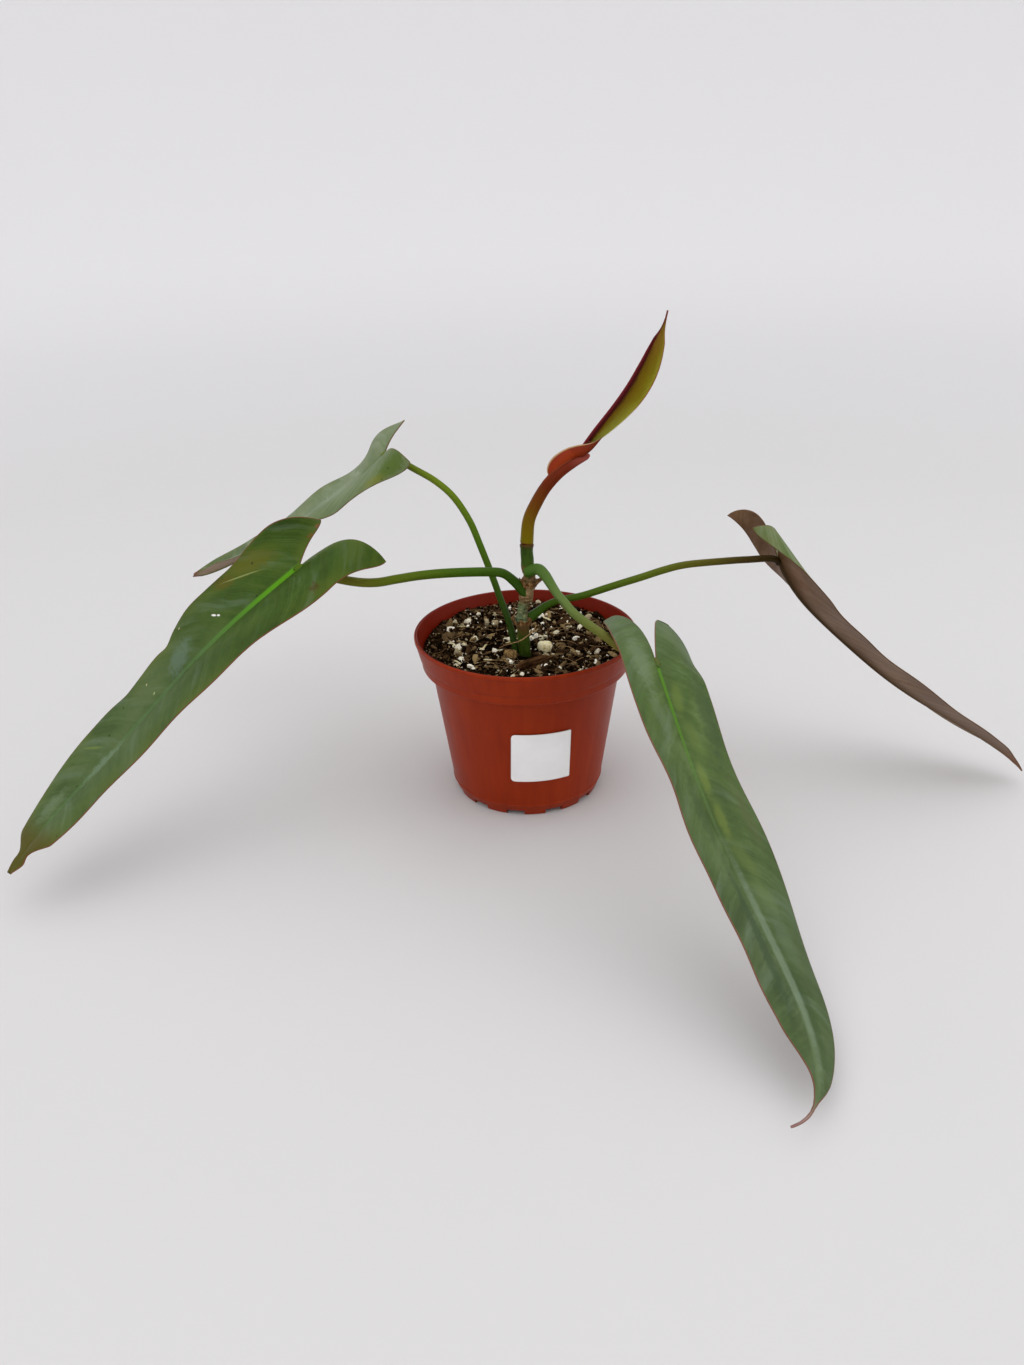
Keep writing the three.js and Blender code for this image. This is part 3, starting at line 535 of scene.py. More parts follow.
# Label
def body_radius(z):
    share = (z - CHAMFER_HEIGHT) / (BODY_TOP - CHAMFER_HEIGHT)
    return CHAMFER_RADIUS + share * (BODY_TOP_RADIUS - CHAMFER_RADIUS)


def label_paint():
    paint = Paint("label_paper", 0.5)
    place = paint.place()
    fibres = paint.noise(place, 2600, 3)
    clouds = paint.noise(place, 90, 3)
    base = paint.ramp(clouds, [(0.3, "#f1f1f0"), (0.7, "#f9f9f9")])
    grime = paint.spread(paint.value("margin"), 0.7, 0, 0, 0.35)
    base = paint.mix(grime, base, "#d6c9c2")
    return paint.finish(base, paint.spread(clouds, 0.3, 0.7, 0.5, 0.6), fibres, 0.02)


def make_label():
    """A thin sheet with rounded corners, bent round the body of the pot."""
    width = LABEL_WIDTH
    across, upright = 64, 40
    points = []
    margins = []
    for lift in LABEL_FACES:
        for i in range(across + 1):
            for j in range(upright + 1):
                u, v = i / across, j / upright
                x, y = u * width, v * LABEL_HEIGHT
                radius = LABEL_CORNERS[(round(u), round(v))]
                dx = radius - min(x, width - x)
                dy = radius - min(y, LABEL_HEIGHT - y)
                if dx > 0 and dy > 0:
                    pull = max(dx, dy) / math.hypot(dx, dy)
                    x += (1 - pull) * dx * (1 if u < 0.5 else -1)
                    y += (1 - pull) * dy * (1 if v < 0.5 else -1)
                margins.append(min(x, width - x, y, LABEL_HEIGHT - y))
                z = LABEL_BOTTOM + y
                turn = math.radians(LABEL_TURN) + (x - width / 2) / body_radius(z)
                r = body_radius(z) + lift + LABEL_LIFT
                points.append([r * math.sin(turn), -r * math.cos(turn), z])
    rows, columns = across + 1, upright + 1
    offset = rows * columns
    faces = double_faces(rows, columns, over=0)
    rim = [i * columns for i in range(rows)]
    rim += [(rows - 1) * columns + j for j in range(1, columns)]
    rim += [i * columns + columns - 1 for i in range(rows - 2, -1, -1)]
    rim += list(range(columns - 2, 0, -1))
    for a, b in zip(rim, rim[1:] + rim[:1]):
        faces.append((a, b, b + offset, a + offset))
    mesh = welded(mesh_from("label_sheet", points, faces, {"margin": margins}))
    finished("label_sheet", mesh, [label_paint()], ["label"], sharp=50)


# Mix
def soil_height(x, y):
    r = np.hypot(x, y) / BAND_FOOT_RADIUS
    swell = 0.5 * np.sin(x / 5 + 1) * np.cos(y / 6) + 0.35 * np.sin((x + y) / 3.3)
    heap = 2.2 * smooth_step(y, 8, 42)
    return SOIL_TOP + 0.6 - 1.4 * r**3 + swell + heap


def soil_paint():
    paint = Paint("mix_base", 0.95)
    place = paint.place()
    crumb = paint.noise(place, 900, 5, 0.7)
    base = paint.ramp(crumb, [(0.34, "#070402"), (0.52, "#1b110a"), (0.66, "#3a291a"), (0.8, "#655034")])
    return paint.finish(base, None, crumb, 0.5, 0)


def bits_paint(name, stops, grain_scale, depth):
    """Colour by each bit's own tone, broken up by fine grain."""
    paint = Paint(name, 0.9)
    grain = paint.noise(paint.place(), grain_scale, 4, 0.65)
    tone = paint.plus(paint.value("tone"), paint.centred(grain, 0.5))
    return paint.finish(paint.ramp(tone, stops), None, grain, depth, 0)


def ball_template(cuts):
    work = bmesh.new()
    bmesh.ops.create_icosphere(work, subdivisions=cuts, radius=1)
    return mesh_lists(work)


def blocky(points, power):
    """Points of a ball pushed outwards towards a box."""
    return np.sign(points) * np.abs(points) ** power


def turned_about(points, yaw, pitch, roll):
    spin = Matrix.Rotation(yaw, 3, "Z") @ Matrix.Rotation(pitch, 3, "Y") @ Matrix.Rotation(roll, 3, "X")
    return points @ np.array(spin).T


# Where the stem and the petiole beside it enter the mix, and how far off bits stay
KEPT_CLEAR = ((-0.5, -14.3, 3.6), (-4.4, -13, 2.6))


def off_stem(x, y):
    return all(math.hypot(x - at_x, y - at_y) > reach for at_x, at_y, reach in KEPT_CLEAR)


def make_bits(name, count, seed, cuts, shape_of, reach, paint):
    """Loose bits scattered on the mix. shape_of(random, points) gives one bit's points."""
    random = np.random.default_rng(seed)
    points, faces = ball_template(cuts)
    parts = []
    while len(parts) < count:
        radius = reach * math.sqrt(random.uniform())
        angle = random.uniform(0, 2 * math.pi)
        x, y = radius * math.cos(angle), radius * math.sin(angle)
        bit, lift, tone = shape_of(random, points)
        if off_stem(x, y):
            centre = np.array([x, y, soil_height(x, y) + lift])
            parts.append((bit + centre, faces, {"tone": np.full(len(points), tone)}))
    finished(name, mesh_from(name, *joined(parts)), [paint], sharp=40)


def drawn_field(random, points, size, octaves):
    """A roughness field whose seed is drawn from the given numbers."""
    return roughness_field(points, size, int(random.integers(1 << 30)), octaves)


def perlite_bit(random, points):
    size = 0.35 + 1.35 * random.uniform() ** 2.4
    shape = blocky(points, 0.65)
    lumps = drawn_field(random, points, 0.9, 3)
    shape = shape * (1 + 0.34 * lumps[:, None]) * random.uniform(0.6, 1.15, 3) * size
    yaw, pitch, roll = random.uniform(0, 2 * math.pi, 3)
    return turned_about(shape, yaw, pitch, roll), 0.3 * size + 0.4, random.uniform(0.1, 1)


def bark_bit(random, points):
    length = 0.8 + 2.8 * random.uniform() ** 2.2
    width = length * random.uniform(0.25, 0.6)
    thick = random.uniform(0.3, 0.75)
    shape = blocky(points, 0.55) * np.array([length, width, thick])
    lumps = drawn_field(random, points * np.array([1, 1, 2]), 1.3, 2)
    shape = shape * (1 + 0.2 * lumps[:, None])
    bow = random.uniform(-0.5, 0.5)
    shape[:, 2] += bow * (shape[:, 0] / length) ** 2
    yaw = random.uniform(0, 2 * math.pi)
    pitch, roll = random.normal(0, 0.35, 2)
    return turned_about(shape, yaw, pitch, roll), random.uniform(-0.1, 1.1), random.uniform()


def chip_bit(random, points):
    """A pale splinter of wood."""
    size = np.array([random.uniform(1.6, 3.2), random.uniform(0.4, 0.8), random.uniform(0.25, 0.4)])
    shape = blocky(points, 0.6)
    lumps = drawn_field(random, points, 0.9, 2)
    shape = shape * size * (1 + 0.16 * lumps[:, None])
    yaw = random.uniform(0, 2 * math.pi)
    pitch, roll = random.normal(0, 0.15, 2)
    return turned_about(shape, yaw, pitch, roll), 0.9, random.uniform(0.2, 0.9)


def crumb_bit(random, points):
    size = random.uniform(0.2, 0.66)
    shape = points * size * random.uniform(0.5, 1.4, 3)
    yaw, pitch, roll = random.uniform(0, 2 * math.pi, 3)
    tone = random.uniform() ** 1.4
    return turned_about(shape, yaw, pitch, roll), random.uniform(0, 1), tone


def make_soil():
    """The body of the mix, with its rough top, and what lies loose on it."""
    inset = WALL + 0.3
    edge = BAND_FOOT_RADIUS - inset + BAND_TAPER * (SOIL_TOP - 2 - BODY_TOP - WALL)
    sides, rings = 220, 90
    angle = full_turn(sides)
    shares = np.linspace(1, 0.004, rings)
    x = (shares[:, None] * edge * np.cos(angle)).ravel()
    y = (shares[:, None] * edge * np.sin(angle)).ravel()
    flat = np.stack([x, y, 0 * x], axis=1)
    lumps = 0.75 * roughness_field(flat, 5, 11, 2) + 0.45 * roughness_field(flat, 2, 12, 3)
    top = np.stack([x, y, soil_height(x, y) - 0.4 + lumps], axis=1)
    wall = [
        (CHAMFER_RADIUS - inset - 0.6, FLOOR_TOP + 0.3), (CHAMFER_RADIUS - inset, CHAMFER_HEIGHT + 0.3),
        (BODY_TOP_RADIUS - inset, BODY_TOP + inset), (BAND_FOOT_RADIUS - inset, BODY_TOP + inset),
    ]
    lower = np.array([[r * math.cos(a), r * math.sin(a), z] for r, z in wall for a in angle])
    mesh = mesh_from("mix_body", np.vstack([lower, top]), ring_faces(len(wall) + rings, sides))
    finished("mix_body", mesh, [soil_paint()], ["soil"])

    stops = [(0.1, "#8f8062"), (0.35, "#d9cfb0"), (0.8, "#f4efdf")]
    paint = bits_paint("perlite_grain", stops, 1300, 0.16)
    make_bits("perlite_grains", 190, 21, 2, perlite_bit, 43.6, paint)
    stops = [(0.05, "#0c0704"), (0.35, "#22160d"), (0.6, "#3d2b1b"), (0.82, "#5d4a32"), (1, "#8c7651")]
    make_bits("bark_bits", 900, 22, 2, bark_bit, 43, bits_paint("bark_bits", stops, 1100, 0.25))
    stops = [(0.1, "#8b7c55"), (0.5, "#b7aa7e"), (0.9, "#d6cca6")]
    make_bits("pale_chips", 16, 27, 2, chip_bit, 40, bits_paint("pale_chips", stops, 900, 0.2))
    stops = [(0.1, "#0e0805"), (0.5, "#2a1c11"), (0.75, "#4d3a26"), (0.92, "#7f6a4b"), (1, "#ddd3bb")]
    make_bits("crumbs", 5200, 23, 1, crumb_bit, 45, bits_paint("crumbs", stops, 2000, 0.1))
    make_threads()


def make_threads(count=130, seed=31, reach=41, edge=44):
    """Coir threads: thin curved strands that lie over the mix, none beyond the edge."""
    random = np.random.default_rng(seed)
    parts = []
    for _ in range(count):
        radius = reach * math.sqrt(random.uniform())
        angle, heading, bend = random.uniform(0, 2 * math.pi, 3)
        length = random.uniform(5, 15)
        t = np.linspace(-0.5, 0.5, 9)
        course = heading + (bend - math.pi) * 0.45 * t
        x = radius * math.cos(angle) + length * t * np.cos(course)
        y = radius * math.sin(angle) + length * t * np.sin(course)
        inside = np.minimum(1, edge / np.maximum(np.hypot(x, y), 1))
        x, y = x * inside, y * inside
        z = soil_height(x, y) + 0.7 + random.uniform(0, 1.2) * (0.25 - t**2) * 4
        thick = random.uniform(0.07, 0.16)
        path = route_points(np.stack([x, y, z], axis=1), 16)
        points, faces, _ = tube_part(path, 6, lambda t, a, w=thick: w * (1.1 - t) + 0.02)
        tone = np.full(len(points), random.uniform(0.2, 0.9))
        parts.append((points, faces, {"tone": tone}))
    mesh = mesh_from("coir_threads", *joined(parts))
    stops = [(0.1, "#3b2819"), (0.5, "#6f5336"), (0.9, "#a98b61")]
    finished("coir_threads", mesh, [bits_paint("coir_threads", stops, 900, 0.05)])


# Loose pieces that are nodes of their own
LOOSE = {
    "perlite_chunk": {
        "at": (8.7, -9.7, 73), "half": (3.3, 2.7, 2.8), "turn": 20, "tilt": 8, "seed": 3,
        "slot": "perlite", "scale": 420, "depth": 0.5,
        "tones": [(0.3, "#a08a52"), (0.45, "#dccfa0"), (0.65, "#f4edcd")],
    },
    "bark_chip": {
        "at": (3.5, -25.6, 72.9), "half": (10.8, 2.8, 1.8), "turn": 44.5, "tilt": 4, "seed": 5,
        "slot": "bark", "scale": 380, "depth": 0.6,
        "tones": [(0.3, "#120a05"), (0.45, "#332012"), (0.58, "#583d26"), (0.75, "#8c7050")],
    },
    "coir_lump": {
        "at": (-6.9, -17.6, 73.4), "half": (3.5, 1.9, 2.4), "turn": -8, "tilt": 6, "seed": 9,
        "slot": "bark", "scale": 800, "depth": 0.5,
        "tones": [(0.3, "#24170c"), (0.46, "#665033"), (0.6, "#97794c"), (0.8, "#c3b086")],
    },
}


def lump_paint(name, piece):
    paint = Paint(name, 0.88)
    place = paint.place()
    if name == "bark_chip":
        place = paint.scaled(paint.turned(place, piece["turn"]), (0.2, 1.6, 1.6))
    grain = paint.noise(place, piece["scale"], 5, 0.68, 0.4)
    return paint.finish(paint.ramp(grain, piece["tones"]), None, grain, piece["depth"], 0)


def make_lumps():
    points, faces = ball_template(5)
    for name, piece in LOOSE.items():
        half = np.array(piece["half"])
        coarse = roughness_field(points, 1.6, piece["seed"], 1)
        fine = roughness_field(points * half, 2.2, piece["seed"] + 1, 4)
        shape = blocky(points, 0.7) * half * (0.92 + 0.16 * coarse[:, None])
        if name == "bark_chip":
            layers = np.abs(np.sin(shape[:, 1:2] * 3 + 0.4 * np.sin(shape[:, 0:1])))
            shape = shape * (1 - 0.12 * layers * np.abs(points[:, 2:3]))
        shape = shape + unit(points) * fine[:, None] * 0.26
        shape = turned_about(shape, math.radians(piece["turn"]), math.radians(piece["tilt"]), 0)
        mesh = mesh_from(name + "_fine", shape + np.array(piece["at"]), faces)
        finished(name + "_fine", mesh, [lump_paint(name, piece)], [name])


# Stem
STEM_ROUTE = [
    [-0.4, -14.4, 52], [-0.5, -14.2, 71], [-1.2, -13.8, 84], [-1.2, -13.4, 92], [0.4, -13.1, 98.5],
    [1.9, -12.7, 105.5], [1.2, -12.4, 112], [0.9, -12, STEM_TOP],
]
STEM_RADII = [
    [50, 2.9], [83, 2.8], [87, 3.4], [91, 2.3], [95.5, 2.3], [98, 3.2], [101, 2.7], [104, 3.2],
    [108, 2.6], [111, 2.9], [119, 2.8], [121, 3.1], [STEM_TOP, 2.7],
]
STEM_TONES = [
    (0, "#232d08"), (0.2, "#374c0f"), (0.28, "#5f3f22"), (0.34, "#5a684a"), (0.46, "#63724d"),
    (0.53, "#735a3b"), (0.62, "#8f7453"), (0.7, "#6f5538"), (0.79, "#634a2a"), (0.82, "#344d0a"),
    (0.95, "#283f06"), (0.985, "#4a200c"),
]


def stem_paint():
    """Colours by height from 70 to 122 mm, with bark and scars on the woody part."""
    paint = Paint("stem_skin", 0.5)
    place = paint.place()
    x, _, height = paint.split(place)
    height = paint.plus(height, paint.centred(paint.noise(place, 260, 4), 0.004))
    share = paint.math("DIVIDE", paint.minus(height, 0.07), 0.052)
    base = paint.ramp(share, STEM_TONES)
    right = paint.spread(x, -0.0008, 0.0016)
    barky = paint.times(right, paint.spread(share, 0.2, 0.3))
    barky = paint.times(barky, paint.spread(share, 0.56, 0.5))
    base = paint.mix(paint.times(barky, 0.75), base, "#6a4f33")
    scars = paint.noise(place, (420, 420, 1100), 4, 0.7)
    woody = paint.times(paint.spread(share, 0.24, 0.3), paint.spread(share, 0.82, 0.78))
    dark = paint.times(paint.spread(scars, 0.5, 0.64), woody)
    base = paint.mix(paint.times(dark, 0.8), base, "#2c1a0d")
    pale = paint.times(paint.spread(scars, 0.46, 0.34), woody)
    base = paint.mix(paint.times(pale, 0.5), base, "#b39a72")
    fresh = paint.noise(place, (700, 700, 120), 3)
    base = paint.mix(paint.spread(fresh, 0.45, 0.75, 0, 0.25), base, "#4c6a1c")
    gloss = paint.spread(woody, 0, 1, 0.38, 0.8)
    return paint.finish(base, gloss, scars, 0.35)


def make_stem():
    path = route_points(STEM_ROUTE, 300)
    heights = path[:, 2]
    radii = through(STEM_RADII, heights)[:, 0]

    def radius_at(t, angle):
        ridges = 0.12 * np.sin(3 * angle + heights[:, None])
        woody = smooth_step(heights, 85, 88) * smooth_step(heights, 112, 110)
        rings = 0.16 * np.sin(heights * 2.6)[:, None] ** 8
        turn = angle + 0 * t
        around = np.stack([2.6 * np.cos(turn), 2.6 * np.sin(turn), heights[:, None] + 0 * angle], 2)
        bark = 0.2 * roughness_field(around.reshape(-1, 3), 1.8, 41, 3).reshape(len(heights), -1)
        return radii[:, None] - 0.12 + ridges * 0.6 + (rings + bark) * woody[:, None]

    mesh = mesh_from("stem_fine", *tube_part(path, 64, radius_at))
    finished("stem_fine", mesh, [stem_paint()], ["stem"], sharp=60)


# Leaves

# A row of a course: place along the midrib, turn, slope, left and right width, left and right fold.
# A half: how far its lobe goes back, as a share of the length, and how far out the lobe's end is, the
# bend of its outer and of its inner edge, the gap by the petiole, the curl of lobe and blade, the wave as
# sine and cosine, the rounding of the lobe's end, and notches by place, depth and spread.
# The radii of a petiole: at the stem, in its middle and at the blade.
HALF_VALUES = ("lobe", "tip", "point", "hook", "sinus", "lobe_curl", "curl", "wave", "round", "notches")
LEAVES = {
    "leaf_left_front": {
        "junction": [-93.5, -20.4, 116.4], "length": 169, "waves": 4,
        "course": [
            [-0.2, -144, -13, 19.5, 21.3, 51, 35], [0, -138, -23, 21.8, 22.1, 14, 29],
            [0.2, -156, -35, 20.3, 21, 4, 43], [0.45, -157, -42, 18.4, 19, 5, 28],
            [0.7, -147, -37, 15, 16.7, 9, 26], [0.9, -127, -30, 12.6, 10.8, 22, 2],
            [0.945, -124.6, -36.2, 4, 3.6, 26.3, -1.2], [0.972, -126.6, -31.9, 3.1, 2.8, -0.7, 4.4],
            [1, -126.3, -34.1, 1.3, 1.3, 10.2, 2.4],
        ],
        "left": (0.163, 26.7, 1.6, 3, -1.7, -77, -32, (-0.4, 0.3), 3.4, ()),
        "right": (
            0.12, 9.5, 1, 2, 3.5, 60, -16, (0, 0.1), 1.8,
            ((48, -1.5, 9), (64, 1.8, 4), (75, -0.7, 6), (90, 0.9, 5), (101, -0.4, 6)),
        ),
        "radii": [2.9, 2, 2], "base_share": 0.12,
        "petiole": [
            [0.5, -13.1, 99.5], [-4.6, -13.5, 105], [-9.4, -13.9, 109], [-15, -14.3, 110],
            [-30, -15.5, 110.4], [-44, -16.4, 110], [-54, -17.1, 108.7], [-62, -17.8, 107.7],
            [-70, -18.4, 108.2], [-80, -19.3, 110.6], [-88, -20, 113.7],
        ],
    },
    "leaf_right_front": {
        "junction": [49.4, -64.3, 90], "length": 183, "waves": 3,
        "course": [
            [-0.2, -92, 10, 17.5, 16.3, 2, 28], [0, -83, -20, 18.2, 16.6, 2, 36],
            [0.2, -72, -40, 18.9, 20.5, 4, 40], [0.45, -67, -36, 19.8, 18.9, 5, 40],
            [0.7, -76, -21, 14.6, 14.8, -9, 34], [0.8, -86.7, -16.1, 10.9, 11, -16, 37.1],
            [0.88, -98.9, -11.7, 5.7, 2.6, -19.2, 30], [0.93, -116.6, -8.4, 0.9, 0.7, -19.4, 10],
            [0.965, -141.2, -2.9, 0.55, 0.55, -25.9, 0], [1, -159.5, 5.2, 0.4, 0.4, -27.5, 0],
        ],
        "left": (0.217, 6.8, 0.38, 2, 1.8, -56, -32, (1, -0.6), 1.8, ((-18, -5.2, 11), (5, -1.2, 9))),
        "right": (0.225, 14.1, 0.5, 2, -0.6, -57, -12, (-1.5, 1.1), 1.8, ()), "radii": [2.9, 1.8, 2],
        "base_share": 0.3,
        "petiole": [
            [1.2, -13.4, 109.5], [5.5, -16.3, 111.4], [7.9, -19.3, 110.2], [10.3, -22.8, 107.5],
            [13.3, -27.5, 104.3], [16.2, -31.5, 101.9], [19.2, -35.5, 99.3], [25.1, -42, 96.6],
            [30.9, -48, 94.1], [38, -53.5, 90.5],
        ],
    },
    "leaf_left_rear": {
        "junction": [-62.5, 45.4, 147.2], "length": 170, "waves": 3,
        "course": [
            [-0.2, 136, -39, 18.5, 18.4, -45, 63], [0, 138, -39, 18.6, 18.4, -26, 59],
            [0.2, 141.6, -33.7, 19.8, 21.2, -11.8, 35.5], [0.45, 147.6, -31.5, 18.6, 18.1, 2.3, 31.9],
            [0.7, 150.6, -30.8, 14.2, 14.3, 17.1, 30.6], [0.9, 153.8, -23.5, 6.4, 10.6, 50.7, 39.5],
            [1, 157.2, -12.8, 0.7, 1.9, 49.9, 52.3],
        ],
        "left": (0.111, 13.8, 0.5, 2.4, 1.4, -69, -30.6, (0.7, 1.4), 1.8, ()),
        "right": (0.086, 8.5, 1, 2, 3.2, -52, -3.3, (1.3, 0.2), 1.8, ()), "radii": [2.4, 1.5, 1.6],
        "base_share": 0.1,
        "petiole": [
            [-3.6, -13.6, 56], [-4.4, -13, 71], [-6.8, -7, 82.4], [-11, -0.3, 92.6], [-15.2, 6.6, 103.3],
            [-19.4, 12.8, 112.9], [-24, 19.1, 122.4], [-31, 25.8, 131.6], [-38.4, 30.8, 137],
            [-47.5, 36, 141.2],
        ],
    },
    "leaf_right": {
        "junction": [109, -6, 110.3], "length": 164, "waves": 3,
        "course": [
            [-0.2, 24, -49, 17.7, 16.7, 74, 32], [0, 12.2, -60.9, 19.1, 19.7, 39.5, 38.5],
            [0.2, 11.6, -46, 21.5, 20.7, 25.4, 20.4], [0.45, -3, -40.3, 19.6, 20.4, 13.3, 37.5],
            [0.7, -10.2, -29.6, 15, 15.5, 2.4, 41.5], [0.9, -17.6, -31.7, 8.6, 8.3, -1.3, 46.1],
            [0.95, -21.6, -37, 3.8, 3.9, 8.6, 46.4], [1, -28, -49, 0.8, 0.8, 6, 48],
        ],
        "left": (0.157, 19.5, 0.6, 3, 2, -160, -40.1, (-1.6, 0.4), 1.8, ()),
        "right": (0.18, 15.3, 0.5, 2, 3, -132, -12, (-1.1, -0.1), 1.8, ()), "radii": [2.4, 1.6, 1.5],
        "base_share": 0.1,
        "petiole": [
            [2, -13.2, 88.4], [9.4, -12.5, 93.6], [15, -12.1, 95.6], [23.4, -11.5, 97],
            [36, -10.7, 100.5], [49, -9.8, 104.1], [58, -9.2, 106.8], [66.5, -8.6, 108.7],
            [77, -8, 109.7], [95, -7, 110.3],
        ],
    },
}
BLADE_THICKNESS = 0.55
EDGE_ROUND = 0.3
VEIN_SPACING = 7.5
VEIN_SWEEP = 0.55
VEIN_BEND = 0.018
SHADES = (0.38, 0.5, 0.62)


class Blade:
    """The surface of one leaf blade, at places given along and across its midrib."""

    def __init__(self, leaf):
        self.leaf = leaf
        self.course = np.array(leaf["course"], float)
        self.marks = np.linspace(self.course[0, 0], 1, 161)
        ahead = self.heading(self.marks)
        steps = (ahead[1:] + ahead[:-1]) / 2 * np.diff(self.marks)[:, None] * leaf["length"]
        self.spine = np.vstack([np.zeros(3), np.cumsum(steps, axis=0)])
        self.spine = self.spine - self.rib([0]) + np.array(leaf["junction"], float)

    def heading(self, s):
        turn, slope = np.radians(through(self.course, s)[:, :2]).T
        return np.stack([np.cos(slope) * np.cos(turn), np.cos(slope) * np.sin(turn), np.sin(slope)], 1)

    def rib(self, s):
        return read_off(s, self.marks, self.spine)

    def outer(self, side, s):
        width = through(self.course, np.maximum(s, 0))[:, side["column"]]
        end = side["tip"] + side["round"]
        widest = through(self.course, [0])[0, side["column"]] - end
        back = np.clip(1 - (np.minimum(s, 0) / side["lobe"]) ** 2, 0, 1)
        width = np.where(s >= 0, width, end + widest * back ** side["point"])
        for along, depth, spread in side["notches"]:
            width = width - depth * np.exp(-(((s * self.leaf["length"] - along) / spread) ** 2))
        return width

    def inner(self, side, s):
        back = np.clip(-s / side["lobe"], 0, 1)
        lobe_edge = side["tip"] * back ** side["hook"] + side["sinus"] * 4 * back * (1 - back)
        corner = 1 - np.sqrt(1 - np.clip(back * 4 - 3, 0, 1) ** 2)
        lobe_edge = lobe_edge + side["round"] * corner
        return np.where(s >= 0, 0, lobe_edge)

    def point(self, side, s, y):
        ahead = self.heading(s)
        left = unit(np.cross([0, 0, 1], ahead))
        up = np.cross(ahead, left)
        values = through(self.course, s)
        width = np.maximum(values[:, side["column"]], 4)
        fold = np.radians(values[:, side["column"] + 2])
        backness = smooth_step(0.15 - s, 0, 0.15 + side["lobe"])
        curl = np.radians(side["curl"] + (side["lobe_curl"] - side["curl"]) * backness)
        curl = np.where(np.abs(curl) < 1e-4, 1e-4, curl)
        bend = fold + curl * y / width
        across = (np.sin(bend) - np.sin(fold)) * width / curl
        turn = 2 * math.pi * self.leaf["waves"] * s
        wave = side["wave"][0] * np.sin(turn) + side["wave"][1] * np.cos(turn)
        ripple = wave * (y / width) ** 2 * np.clip(1.2 - s, 0, 1)
        rise = (np.cos(fold) - np.cos(bend)) * width / curl + ripple
        return self.rib(s) + left * (side["sign"] * across)[:, None] + up * rise[:, None]

    def normal(self, side, s, y):
        step = 0.004
        here = np.clip(s, None, 1 - step)
        base = self.point(side, here, y)
        ahead = self.point(side, here + step, y) - base
        across = self.point(side, here, y + 0.02) - base
        return unit(np.cross(ahead, across) * side["sign"])


def blade_sides(leaf):
    """Both halves, with their values named, the side they lie on and their column in the course."""
    halves = []
    for name, sign, column in (("left", 1, 2), ("right", -1, 3)):
        halves.append(dict(zip(HALF_VALUES, leaf[name]), sign=sign, column=column))
    return halves


def side_part(blade, side, seed):
    """One half of a blade: both faces on one grid, which meet at the margin."""
    length = blade.leaf["length"]
    lobe_rows, blade_rows = 34, 190
    back = -side["lobe"] * np.sin(np.linspace(math.pi / 2, 0, lobe_rows + 1))[:-1]
    ahead = 1 - (1 - np.linspace(0, 1, blade_rows + 1)) ** 1.25
    rows = np.concatenate([back, ahead])
    near = np.array([0, 0.06, 0.16, 0.32, 0.6, 1, 1.6])
    far = np.array([0.6, 0.3, 0.14, 0.05, 0])
    middle = np.linspace(0, 1, 24)[1:-1]
    columns = len(near) + len(middle) + len(far)
    inner = blade.inner(side, rows)
    outer = blade.outer(side, rows)
    width = outer - inner
    full_width = 4.4
    fit = np.minimum(1, width / full_width)[:, None]
    first = inner[:, None] + near[None, :] * fit
    final = outer[:, None] - far[None, :] * fit
    between = first[:, -1:] + (final[:, :1] - first[:, -1:]) * middle[None, :]
    y = np.concatenate([first, between, final], axis=1)
    s = np.repeat(rows, columns)
    y = y.ravel()
    edge = np.repeat(outer, columns) - y
    on_lobe = s < 0
    edge = np.where(on_lobe, np.minimum(edge, y - np.repeat(inner, columns)), edge)
    edge = np.maximum(edge, 0)
    place = blade.point(side, s, y)
    up = blade.normal(side, s, y)
    middle_rib = (~on_lobe) & (y < 1e-6)
    other = [x for x in blade_sides(blade.leaf) if x["sign"] != side["sign"]][0]
    shared = unit(up[middle_rib] + blade.normal(other, s[middle_rib], 0 * s[middle_rib]))
    up[middle_rib] = shared

    along = s * length
    phase = (along - VEIN_SWEEP * y - VEIN_BEND * y**2) / VEIN_SPACING
    inside = smooth_step(y, 1.5, 6) * smooth_step(edge, 0.3, 4)
    quilt = 0.06 * inside * np.cos(2 * math.pi * phase) * smooth_step(s, -0.05, 0.1)
    flat = np.stack([along, side["sign"] * y, 0 * y], axis=1)
    drift = 0.45 * roughness_field(flat, 26, seed, 2) * smooth_step(y, 2, 12)
    groove = 0.22 * np.exp(-((y / 0.9) ** 2)) * np.where(on_lobe, 0, 1)
    place = place + up * (quilt + drift)[:, None]

    round_off = np.sqrt(1 - (1 - np.minimum(edge / EDGE_ROUND, 1)) ** 2)
    thick = BLADE_THICKNESS / 2 * round_off * np.where(s > 0.97, 0.8, 1)
    tipward = np.clip(s, 0, 1)
    rib_depth = (1.15 - 0.85 * np.sqrt(tipward)) * np.exp(-((y / (1.1 - 0.6 * tipward)) ** 2))
    rib_depth = np.where(on_lobe, 0, rib_depth) * smooth_step(-np.abs(s - 0.5), -0.5, -0.46)
    side_veins = 0.05 * inside * np.maximum(np.cos(2 * math.pi * phase), 0) ** 6
    top = place + up * (thick - groove)[:, None]
    bottom = place - up * (thick + rib_depth + side_veins)[:, None]

    faces = double_faces(len(rows), columns, over=1 if side["sign"] > 0 else 0)
    under = np.repeat([0.0, 1.0], len(top))
    values = {"blade": np.tile(flat, (2, 1)), "edge": np.tile(edge, 2), "under": under}
    return np.vstack([top, bottom]), faces, values


